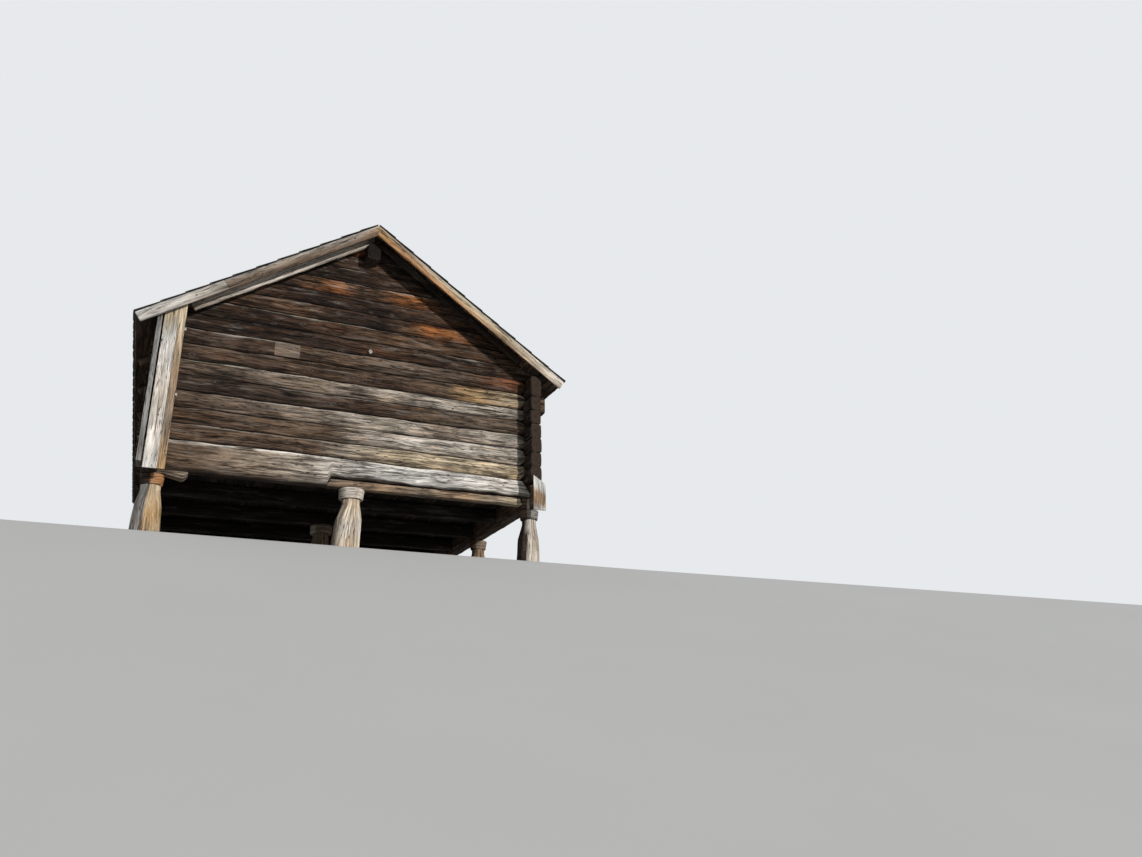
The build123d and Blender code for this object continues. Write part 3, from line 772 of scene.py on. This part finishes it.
def bearing_timber():
    """The timber under the right half of the front sill, with both ends cut aslant."""
    low, high = bearing_low, bearing_high
    shape = Shape()
    s = stations(low.x, high.x, 0.04)

    def slant(run, w, h):
        shift = BEARING_SLANT * (h - low.z) / (high.z - low.z)
        middle = (low.x + high.x) / 2
        return run + np.where(run < middle, shift, -shift) * np.clip(np.abs(run - middle) / 1.3 - 0.05, 0, 1)

    places = {low.x: "taupe", 0.3: "tan", 0.9: "drab", 1.5: "tan", 2.0: "drab", 2.2: "straw",
              high.x: "cream"}
    shape.hew(ACROSS, s, (low.y, high.y), (low.z, high.z - 0.004), 0.016, 70,
              mottled(places, s, 71, 0.5, 0.1), bend=slant, dark_low=0.3)
    shape.build_hewn("bearing_timber", SILL_TIMBER, "bearing")


STUB_NECK, STUB_SLANT = (0.09, 0.045), 0.07
STUB_NECK_LEVEL = 0.815


def bearing_stub():
    """The end of the same timber on the left cap, thinner where it passes the cap."""
    low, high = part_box("bearing_stub")
    shape = Shape()
    s = stations(low.x, high.x, 0.03)
    places = [low.x, low.x + STUB_NECK[0], high.x - STUB_NECK[1], high.x]
    bottom = np.interp(s, places, [STUB_NECK_LEVEL, STUB_NECK_LEVEL, low.z, low.z + STUB_SLANT])
    shape.hew(ACROSS, s, (low.y, high.y), (bottom, high.z), 0.012, 72, {low.x: "taupe", high.x: "drab"})
    shape.build_hewn("bearing_stub", SILL_TIMBER, "bearing")


def corner_prop():
    """The split piece that fills the step over the right cap."""
    low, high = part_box("corner_prop")
    shape = Shape()
    s = stations(low.z, high.z, 0.02)
    shape.hew(UPRIGHT, s, (low.x, high.x), (low.y, high.y), 0.006, 74, "silver", rough=0.001,
              end_edge=0.003)
    shape.build("split_corner_prop", SILL_TIMBER, "bearing", "corner_prop")


# Posts and caps

# The facet colours below are painted shade on the left facets of the posts and caps
POSTS = {
    "left": {"x": -2.4625, "share": 1.0, "lean": 0.0, "tones": ("honey", "straw"), "facet": ("smoke", -0.14),
             "cap_radius": 0.141, "cap_tone": "amber", "cap_shade_facet": ("tar", -0.1)},
    "middle": {"x": -0.036, "share": 1.0, "lean": -0.045, "tones": ("pale", "cream"),
               "facet": ("ash", -0.62), "cap_radius": 0.172, "cap_tone": "pale",
               "cap_shade_facet": ("silver", -0.6)},
    "right": {"x": 2.5425, "share": 0.84, "lean": -0.02, "tones": ("silver", "pale"),
              "facet": ("tar", -0.52), "cap_radius": 0.141, "cap_tone": "smoke",
              "cap_shade_facet": ("brown", -0.5)},
}
# Darker tones for the posts and caps behind the front row: painted shade under the floor
SHADED_INNER_POST_TONES, SHADED_INNER_CAP_TONE = ("ash", "tan"), "drab"
FOOT, WAIST, NECK = 0.345, 0.308, 0.222
POST_CORNER = 0.06
NECK_HEIGHT, FLARE = 0.07, 0.21
CAP_HEIGHT = 0.14
CAP_LEVELS = (0, 0.008, 0.02, 0.045, 0.07, 0.095, CAP_HEIGHT - 0.014, CAP_HEIGHT - 0.006, CAP_HEIGHT)


def shaded_facets(tone, edge):
    """The paint of a post or cap: painted shade on its left facet, and a tan streak down its front."""

    def paint(colour, run, w, h):
        low, high = w.min(1)[:, None], w.max(1)[:, None]
        across = (2 * w - low - high) / (high - low)
        facet = np.clip((edge - across) / 0.06, 0, 1)[..., None]
        streak = np.exp(-((across - 0.2 - 0.12 * np.sin(6 * run)) / 0.16) ** 2)[..., None]
        colour = colour + 0.5 * streak * (PALETTE["tan"] - colour)
        return colour + facet * (PALETTE[tone] - colour)

    return paint


def post(shape, kind, y, top, seed, front):
    """One post: a slow flare up from the foot, a short steep one, and a straight neck under the cap."""
    neck = top - NECK_HEIGHT
    waist = neck - FLARE
    s = stations(0.0, top, 0.018, waist, neck)
    half = np.interp(s, [0, waist, neck, top], [FOOT, WAIST, NECK, NECK]) / 2 * kind["share"]
    lean = np.interp(s, [0, waist, neck], [kind["lean"], kind["lean"] / 2, 0])
    first, second = kind["tones"] if front else SHADED_INNER_POST_TONES
    shape.hew(UPRIGHT, s, (lean - half, lean + half), (-half, half), POST_CORNER * kind["share"], seed,
              mottled({0: second, 0.3: first, top: second}, s, seed, 0.5, 0.06), np.array([kind["x"], y, 0]),
              belly=0.002, detail=(1, 6), paint=shaded_facets(*kind["facet"]))


def cap(shape, kind, y, bottom, seed, front):
    """One round cap, a little narrower at its underside and its top."""
    s = np.array(CAP_LEVELS)
    r = kind["cap_radius"] - 0.004 - np.interp(s, [0, CAP_HEIGHT - 0.014, CAP_HEIGHT], [0.012, 0.0, 0.010])
    shape.hew(UPRIGHT, s, (-r, r), (-r, r), r, seed, kind["cap_tone"] if front else SHADED_INNER_CAP_TONE,
              np.array([kind["x"], y, bottom]), end_edge=0.003, detail=(12, 0), turned=True,
              paint=shaded_facets(*kind["cap_shade_facet"]))


def post_row(number):
    """Three posts with their caps. The middle one carries the gable's sill, the others the side sills."""
    low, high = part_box(f"posts_row_{number}")
    y = (low.y + high.y) / 2
    posts, caps = Shape(), Shape()
    for place, kind in POSTS.items():
        top = (SILL_BOTTOM if place == "middle" else SIDE_SILL_BOTTOM) - CAP_HEIGHT
        seed = 300 + 10 * number + len(place)
        post(posts, kind, y, top, seed, number == 1)
        cap(caps, kind, y, top, seed + 5, number == 1)
    posts.build_hewn(f"posts_row_{number}", POST_TIMBER, "posts")
    caps.build_hewn(f"caps_row_{number}", BOARD_TIMBER, "caps")


# Floor

JOISTS, JOIST = 7, 0.18
FLOOR_BOARDS = 24


def joists():
    low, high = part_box("floor_joists")
    shape = Shape()
    step = (high.y - low.y - JOIST) / (JOISTS - 1)
    for number in range(JOISTS):
        y = low.y + JOIST / 2 + number * step
        s = stations(low.x, high.x, 0.12)
        # Near black: painted shade under the floor
        shape.hew(ACROSS, s, (y - JOIST / 2, y + JOIST / 2), (low.z, high.z - 0.001), 0.05, 400 + number,
                  "black", rough=0.004, belly=0.003)
    shape.build_hewn("floor_joists", HIDDEN_TIMBER, "floor_timber")


def floor():
    low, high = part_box("floor")
    shape = Shape()
    width = (high.x - low.x) / FLOOR_BOARDS
    for number in range(FLOOR_BOARDS):
        s = stations(low.y, high.y, 0.7)
        x = low.x + number * width
        # Black and dark brown boards: painted shade under the floor
        shape.hew(ALONG, s, (x + 0.001, x + width - 0.001), (low.z, high.z), 0.003, 420 + number,
                  "black" if number % 3 else "tar", rough=0.0006, end_edge=0.002, detail=(1, 1))
    shape.build("floor_boards", HIDDEN_TIMBER, "floor_timber", "floor")


# Roof

RIDGE_LOG_HALF, RIDGE_LOG_TOP = 0.09, 0.045
RAFTERS, RAFTER = 7, 0.09
EAVE_SETBACK, VERGE_RAFTER, VERGE_SHORTER = 0.03, 0.07, 0.25
RAFTER_LOW, VERGE_POLE_LOW = -0.125, -0.15
DECK_BOARDS, DECK_START = 18, 0.022
SLATE_COURSES, SLATE_LAP, EAVE_REACH = 11, 0.05, 0.012
SLATE_TILT, SLATE_MIDDLE = 0.014, 0.008
BARGE_LOW, BARGE_HIGH = -0.135, -0.001
BARGE_JOINT = 0.67


def slope_axes(side):
    """Down the slope, along the ridge, and out of the roof."""
    return side * COS * X - SIN * Z, Y, side * SIN * X + COS * Z


def board_axes(side):
    """Along the ridge, down the slope, and out of the roof."""
    down, along, out = slope_axes(side)
    return along, down, out


def plumb_at_ridge(length):
    """Moves the ends of a timber on the slope so that its upper end is plumb over the ridge."""

    def bend(run, w, h):
        return run - np.clip(1 - run / length, 0, 1) * h * TAN

    return bend


def ridge_log():
    low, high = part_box("ridge_log")
    shape = Shape()
    s = stations(low.y, high.y, 0.1)
    shoulder = high.z - RIDGE_LOG_HALF * TAN
    # Dark tones and black ends: painted shade under the ridge
    shape.hew(ALONG, s, (low.x, high.x), (low.z, shoulder), 0.03, 500, "tar", end_tint="black")
    top = stations(low.y + 0.01, high.y - 0.01, 0.2)
    shape.hew(ALONG, top, (-RIDGE_LOG_TOP, RIDGE_LOG_TOP), (shoulder - 0.03, shoulder + RIDGE_LOG_TOP * TAN),
              0.01, 501, "bark")
    shape.build_hewn("ridge_log", HIDDEN_TIMBER, "roof_timber")


def rafters(side, name):
    """Seven rafters that reach the eave, and a rafter against each gable that ends over the side wall."""
    shape = Shape()
    axes = slope_axes(side)
    rafter_end = SLOPE_LENGTH - EAVE_SETBACK
    verge_end = (HALF_WIDTH - VERGE_SHORTER) / COS
    span = 2 * HALF_LENGTH / (RAFTERS + 1)
    top = -DECK - 0.001
    low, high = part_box(f"{name}_rafters")
    for number in range(RAFTERS):
        y = -HALF_LENGTH + (number + 1) * span
        s = stations(0, rafter_end, 0.1)
        wide = (y - RAFTER / 2, y + RAFTER / 2)
        shape.hew(axes, s, wide, (RAFTER_LOW, top), 0.018, 520 + number,
                  "umber", RIDGE_POINT, bend=plumb_at_ridge(rafter_end))
    for end in (FRONT, BACK):
        outer = low.y if end == FRONT else high.y
        s = stations(0, verge_end, 0.035)
        # Pale on the left: painted light on the verge pole. Near black on the right: painted shade
        first, second = ("ash", "pale") if side == LEFT else ("tar", "black")
        bottom = VERGE_POLE_LOW if side == LEFT and end == FRONT else RAFTER_LOW
        wide = sorted((outer, outer - end * VERGE_RAFTER))
        shape.hew(axes, s, wide, (bottom, top), 0.026, 530 + end + side,
                  {0: first, verge_end / 2: second, verge_end: first}, RIDGE_POINT,
                  bend=plumb_at_ridge(verge_end))
    shape.build_hewn(f"{name}_rafters", BOARD_TIMBER, "roof_timber")


def deck(side, name):
    """Boards along the ridge's direction on the rafters."""
    shape = Shape()
    width = SLOPE_LENGTH / DECK_BOARDS
    s = stations(-DECK_REACH, DECK_REACH, 0.5, -HALF_LENGTH, HALF_LENGTH)
    for number in range(DECK_BOARDS):
        low = number * width + 0.001 if number else DECK_START
        # Dark boards: painted shade under the roof
        colour = ("bark", "tar", "brown")[number * 7 % 3]
        shape.hew(board_axes(side), s, (low, (number + 1) * width - 0.001), (-DECK, -0.001), 0.003,
                  540 + number + 30 * (side + 1), colour, RIDGE_POINT, rough=0.0005, end_edge=0.002,
                  detail=(1, 2))
    shape.build(f"{name}_deck_boards", HIDDEN_TIMBER, "roof_timber", f"{name}_roof_deck")


def slates(side, name):
    """Eleven lapped courses of split slates, no two of one width."""
    shape = Shape()
    rng = np.random.default_rng(600 + side)
    height = (SLOPE_LENGTH + EAVE_REACH) / SLATE_COURSES
    for course in range(SLATE_COURSES):
        ends = max(course * height - SLATE_LAP, 0.004), (course + 1) * height
        place = -COVER_REACH
        while place < COVER_REACH - 0.02:
            width = rng.uniform(0.22, 0.42)
            if COVER_REACH - place - width < 0.16:
                width = COVER_REACH - place
            # A pale end face on each course's front slate on the left: a painted highlight on the verge
            highlight_end = side == LEFT and place == -COVER_REACH
            split_slate(shape, rng, board_axes(side), place, width, ends, highlight_end)
            place += width
    shape.build(f"{name}_slates", SLATE, "slates", f"{name}_roof_covering")


def split_slate(shape, rng, axes, place, width, ends, highlight_end):
    """One slate with a ragged lower edge, straighter at the eave and lifted off the next course."""
    upper, lower = ends
    s = np.linspace(place + 0.003, place + width - 0.003, 6)
    ragged = rng.uniform(-0.012, 0.0, 6)
    ragged[[0, -1]] -= rng.uniform(0.004, 0.02, 2)
    if lower > SLOPE_LENGTH:
        ragged *= 0.25
    thick = rng.uniform(0.007, 0.010)
    middle = SLATE_MIDDLE + rng.uniform(-0.002, 0.001)
    shade = rng.uniform(0.75, 1.25)
    tint = tones("slate", s) * shade * np.array([1, rng.uniform(0.97, 1.03), rng.uniform(0.92, 1.08)])
    shape.hew(axes, s, (upper, lower + ragged), (middle - thick / 2, middle + thick / 2), 0.003,
              int(rng.integers(1, 10 ** 6)), tint, RIDGE_POINT, rough=0.0008, end_edge=0.003, detail=(1, 0),
              end_tint="ash" if highlight_end else None)
    down = (shape.points[-1] - RIDGE_POINT) @ axes[1]
    shape.points[-1] += ((down - upper) / (lower - upper) * SLATE_TILT)[:, None] * axes[2]


def barge_edges(side):
    """The paint of a front board: a silver upper edge and a warm lower one, which fades down the slope."""
    silver, brown, tone = (0.6, 0.9, "brown") if side == LEFT else (0.3, 0.8, "amber")

    def paint(colour, run, w, h):
        height = np.clip((h - BARGE_LOW) / (BARGE_HIGH - BARGE_LOW), 0, 1)
        colour = colour + (silver * np.clip(height * 3 - 2, 0, 1))[..., None] * (PALETTE["frost"] - colour)
        fade = np.clip(1.45 - run / SLOPE_LENGTH * 1.3, 0, 1)
        share = brown * fade * np.clip(1.5 - height * 2.6, 0, 1)
        return colour + share[..., None] * (PALETTE[tone] - colour)

    return paint


def barge(name, end, side, start, stop, places, proud=0.0):
    """A board on the gable's edge, with the ridge end cut plumb."""
    low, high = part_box(name)
    shape = Shape()
    s = stations(start, stop, 0.035)
    shape.hew(slope_axes(side), s, (low.y - proud, high.y), (BARGE_LOW, BARGE_HIGH), 0.005,
              640 + len(name) + side, mottled(places, s, len(name), 0.8, 0.06), RIDGE_POINT, rough=0.0012,
              belly=0.001, end_edge=0.003, bend=None if start else plumb_at_ridge(stop), detail=(2, 7),
              dark_low=0.25, paint=barge_edges(side) if end == FRONT else None)
    shape.build(f"{name}_board", BOARD_TIMBER, "barge_boards", name)


def barges():
    joint = SLOPE_LENGTH * BARGE_JOINT
    left = {0: "tan", 0.5: "ash", 1.2: "drab", joint - 0.01: "drab", joint + 0.01: "silver",
            SLOPE_LENGTH: "frost"}
    right = {0: "honey", 0.6: "tan", 1.6: "straw", 2.4: "straw", SLOPE_LENGTH: "pale"}
    grey = {0: "ash", SLOPE_LENGTH: "silver"}
    barge("front_left_barge_upper", FRONT, LEFT, 0, joint, left)
    barge("front_left_barge_lower", FRONT, LEFT, joint + 0.002, SLOPE_LENGTH, left, 0.004)
    barge("front_right_barge", FRONT, RIGHT, 0, SLOPE_LENGTH, right)
    barge("back_left_barge", BACK, LEFT, 0, SLOPE_LENGTH, grey)
    barge("back_right_barge", BACK, RIGHT, 0, SLOPE_LENGTH, grey)


# Corner casings

WIDE_BOARD_TONES = {0.8: "frost", 1.3: "white", 1.7: "silver", 2.1: "white", 2.6: "frost", 2.9: "straw"}
STRIP_TONES = {0.8: "honey", 1.1: "tan", 1.4: "drab", 2.0: "tan", 2.6: "straw", 3.0: "cream"}
REMNANT_TONES = {0.73: "frost", 0.85: "tan", 1.0: "tan", 1.1: "frost", 1.24: "frost"}
CASING_WIDTH, CASING_SPLIT, CASING_SEAM = 0.246, 0.162, 0.0015
STRIP_SETBACK = 0.003
INNER_FLANK, OUTER_FLANK, FLANK_SETBACK = (0.0005, 0.04), (0.02, 0.075), 0.02
REMNANT_RIGHT_TOP = 1.115


def upright(shape, sides, faces, levels, seed, places):
    """A plumb board between two sides, faces and levels, its top cut to the roof's slope."""
    bottom, top = levels
    s = stations(bottom, top, 0.04)

    def cut_top(run, w, h):
        roof = RIDGE - (DECK + ROOF_GAP) / COS - np.abs(w) * TAN
        return bottom + (run - bottom) / (top - bottom) * (roof - bottom)

    shape.hew(UPRIGHT, s, sides, faces, 0.004, seed, mottled(places, s, seed, 0.5, 0.05), rough=0.001,
              end_edge=0.003, bend=cut_top, detail=(2, 3))


def casing(name, side, end):
    """The corner's wide board and strip over the side logs' ends, and a board on each flank."""
    low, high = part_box(f"{name}_casing")
    split = side * (HALF_WIDTH - CASING_SPLIT)
    wide = sorted((side * HALF_WIDTH, split + side * CASING_SEAM))
    strip = sorted((split - side * CASING_SEAM, side * (HALF_WIDTH - CASING_WIDTH)))
    boards = Shape()
    upright(boards, wide, (low.y, high.y), (low.z, high.z), 700 + side + end, WIDE_BOARD_TONES)
    strip_faces = (low.y + STRIP_SETBACK, high.y - STRIP_SETBACK)
    upright(boards, strip, strip_faces, (low.z, high.z), 710 + side + end, STRIP_TONES)
    boards.build(f"{name}_casing_boards", BOARD_TIMBER, "casing_boards", f"{name}_casing")

    flanks = Shape()
    flank_low, flank_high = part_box(f"{name}_casing_flanks")
    inner = sorted(side * (HALF_WIDTH - LOG - away) for away in INNER_FLANK)
    outer = sorted(side * (HALF_WIDTH + away) for away in OUTER_FLANK)
    inner_faces = sorted((end * (HALF_LENGTH + FLANK_SETBACK), end * (HALF_LENGTH + SIDE_END_REACH)))
    upright(flanks, inner, inner_faces, (SILL_TOP, high.z), 720 + side + end, {0.8: "taupe", 3.1: "drab"})
    upright(flanks, outer, (flank_low.y, flank_high.y), (flank_low.z, high.z), 730 + side + end,
            {0: "smoke"})
    flanks.build(f"{name}_flank_boards", BOARD_TIMBER, "casing_boards", f"{name}_casing_flanks")


def remnant():
    """What is left of the right front casing, its top broken off aslant."""
    low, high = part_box("front_right_casing_remnant")
    shape = Shape()
    s = stations(low.z, high.z, 0.02)

    def cut_top(run, w, h):
        top = high.z - (w - low.x) / (high.x - low.x) * (high.z - REMNANT_RIGHT_TOP)
        return low.z + (run - low.z) / (high.z - low.z) * (top - low.z)

    shape.hew(UPRIGHT, s, (low.x, high.x), (low.y, high.y), 0.004, 750, REMNANT_TONES, rough=0.001,
              end_edge=0.003, bend=cut_top, detail=(2, 3))
    shape.build("remnant_board", BOARD_TIMBER, "casing_boards", "front_right_casing_remnant")


FITTING_PROUD, PATCH_HALF, BRACKET_REACH = 0.012, 0.006, 0.03
PATCH_SIDES, PATCH_LEVELS = (-1.21, -0.88), (2.60, 2.795)
BRACKET_X, BRACKET, BRACKET_LEVELS = -2.35, 0.035, (1.83, 2.74)
KNOB_X, KNOB_Z = 0.07, 2.87
KNOB_PLACES = (0.0, 0.004, 0.02, 0.035, 0.045, 0.05)
KNOB_RADII = (0.022, 0.024, 0.022, 0.028, 0.024, 0.012)


def small_fittings():
    """The light patch board on the wall, its white knob and the two small brackets beside the casing."""
    shape = Shape()
    front = -HALF_LENGTH - FITTING_PROUD
    s = stations(*PATCH_SIDES, 0.03)
    shape.hew(ACROSS, s, (front - PATCH_HALF, front + PATCH_HALF), PATCH_LEVELS, 0.003, 801, "taupe",
              rough=0.001, end_edge=0.002, detail=(2, 3))
    for level in BRACKET_LEVELS:
        s = BRACKET_X + np.array([0, 0.002, BRACKET - 0.002, BRACKET])
        shape.hew(ACROSS, s, (front - BRACKET_REACH, front), (level, level + BRACKET), 0.004, 802, "pale",
                  rough=0.0, end_edge=0.003, detail=(2, 1))
    s, r = np.array(KNOB_PLACES), np.array(KNOB_RADII)
    shape.hew((-Y, X, Z), s, (-r, r), (-r, r), r, 803, "white",
              np.array([KNOB_X, -HALF_LENGTH + 0.004, KNOB_Z]), rough=0.0, end_edge=0.002, detail=(5, 0))
    shape.build("wall_fittings", BOARD_TIMBER, "casing_boards")


def build_all():
    gable_wall(FRONT, "front_wall_logs", FRONT_WALL)
    gable_wall(BACK, "back_wall_logs", BACK_WALL)
    gable_top(FRONT, "front_gable_logs", FRONT_WALL)
    gable_top(BACK, "back_gable_logs", BACK_WALL)
    side_wall(LEFT, "left_wall_logs", LEFT_WALL)
    side_wall(RIGHT, "right_wall_logs", RIGHT_WALL)
    front_sill()
    back_sill()
    side_sill(LEFT, "left")
    side_sill(RIGHT, "right")
    bearing_timber()
    bearing_stub()
    corner_prop()
    for number in range(1, 6):
        post_row(number)
    joists()
    floor()
    ridge_log()
    for side, name in ((LEFT, "left"), (RIGHT, "right")):
        rafters(side, name)
        deck(side, name)
        slates(side, name)
    barges()
    casing("front_left", LEFT, FRONT)
    casing("back_left", LEFT, BACK)
    casing("back_right", RIGHT, BACK)
    remnant()
    small_fittings()


# Stage, light and camera

CAMERA_PLACE = Vector((-2.27, -15.835, -2.365))
CAMERA_YAW, CAMERA_PITCH, CAMERA_ROLL = 25.77, 19.74, -1.22
LENS, SENSOR = 27.47, 36
SUN_WAY = Vector((-0.4, 1, -0.2))
SUN_POWER, SUN_ANGLE, SUN_COLOUR = 2.8, math.radians(1.5), (1.0, 0.98, 0.95)
SKY_POWER, SKY_COLOUR, BACKDROP_COLOUR = 0.36, (0.90, 0.95, 1.0, 1), (0.80, 0.82, 0.84, 1)
GROUND_COLOURS = (0.60, 0.60, 0.585, 1), (0.64, 0.64, 0.625, 1)
BANK_START, BANK_TURN, BANK_FALL = -4.74, 0.035, 4.2
BANK_SLOPE = math.radians(19.5)
BANK_ROUNDING = 0.35


def ground_height(x, y):
    """Level under the building, then a smooth bank that falls towards the camera."""
    past = np.maximum(BANK_START + BANK_TURN * np.clip(x, -4, 4) - y, 0)
    fall = np.where(past < BANK_ROUNDING, past ** 2 / 2 / BANK_ROUNDING, past - BANK_ROUNDING / 2)
    return -np.minimum(fall * math.tan(BANK_SLOPE), BANK_FALL)


def ground():
    """The pale floor: wide enough to reach past the view in every direction."""
    xs = np.array([-120, -40, -12, -4, -2, 0, 2, 4, 12, 40, 120.0])
    ys = np.concatenate([[-60, -30], np.linspace(-20, -6, 12), np.linspace(-5.5, -4.4, 24),
                         [0, 30, 60, 120]])
    points = [(x, y, float(ground_height(x, y))) for y in ys for x in xs]
    wide = len(xs)
    faces = [(a, a + 1, a + wide + 1, a + wide) for a in range(len(points) - wide) if (a + 1) % wide]
    mesh = bpy.data.meshes.new("ground")
    mesh.from_pydata(points, [], faces)
    mesh.shade_smooth()
    tree = Tree("ground")
    place = tree.node("ShaderNodeTexCoord", {}, "Object")
    cloud = tree.noise(tree.scaled(place, (0.5, 0.5, 0.5)), 3.0)
    mesh.materials.append(tree.finish(tree.mix(cloud, *GROUND_COLOURS), 0.95, tree.bump(cloud, 0.05, 0.01)))
    floor_piece = bpy.data.objects.new("ground", mesh)
    bpy.context.scene.collection.objects.link(floor_piece)


def sunlight():
    sun = bpy.data.lights.new("sun", "SUN")
    sun.energy = SUN_POWER
    sun.angle = SUN_ANGLE
    sun.color = SUN_COLOUR
    lamp = bpy.data.objects.new("sun", sun)
    lamp.rotation_euler = SUN_WAY.to_track_quat("-Z", "Y").to_euler()
    bpy.context.scene.collection.objects.link(lamp)


def sky():
    """Soft light from all round, with a pale backdrop where the camera sees it."""
    world = bpy.data.worlds.new("studio")
    bpy.context.scene.world = world
    world.use_nodes = True
    nodes, links = world.node_tree.nodes, world.node_tree.links
    light = nodes["Background"]
    light.inputs["Color"].default_value = SKY_COLOUR
    light.inputs["Strength"].default_value = SKY_POWER
    backdrop = nodes.new("ShaderNodeBackground")
    backdrop.inputs["Color"].default_value = BACKDROP_COLOUR
    path = nodes.new("ShaderNodeLightPath")
    choice = nodes.new("ShaderNodeMixShader")
    links.new(path.outputs["Is Camera Ray"], choice.inputs[0])
    links.new(light.outputs[0], choice.inputs[1])
    links.new(backdrop.outputs[0], choice.inputs[2])
    links.new(choice.outputs[0], nodes["World Output"].inputs[0])


def camera():
    yaw, pitch, roll = (math.radians(v) for v in (CAMERA_YAW, CAMERA_PITCH, CAMERA_ROLL))
    aim = Matrix.Rotation(-yaw, 4, "Z") @ Matrix.Rotation(math.pi / 2 + pitch, 4, "X")
    data = bpy.data.cameras.new("camera")
    data.sensor_width = SENSOR
    data.lens = LENS
    viewer = bpy.data.objects.new("camera", data)
    viewer.matrix_world = Matrix.Translation(CAMERA_PLACE) @ aim @ Matrix.Rotation(roll, 4, "Z")
    bpy.context.scene.collection.objects.link(viewer)
    bpy.context.scene.camera = viewer


build_all()
ground()
sunlight()
sky()
camera()
bpy.context.scene.view_settings.view_transform = "Standard"
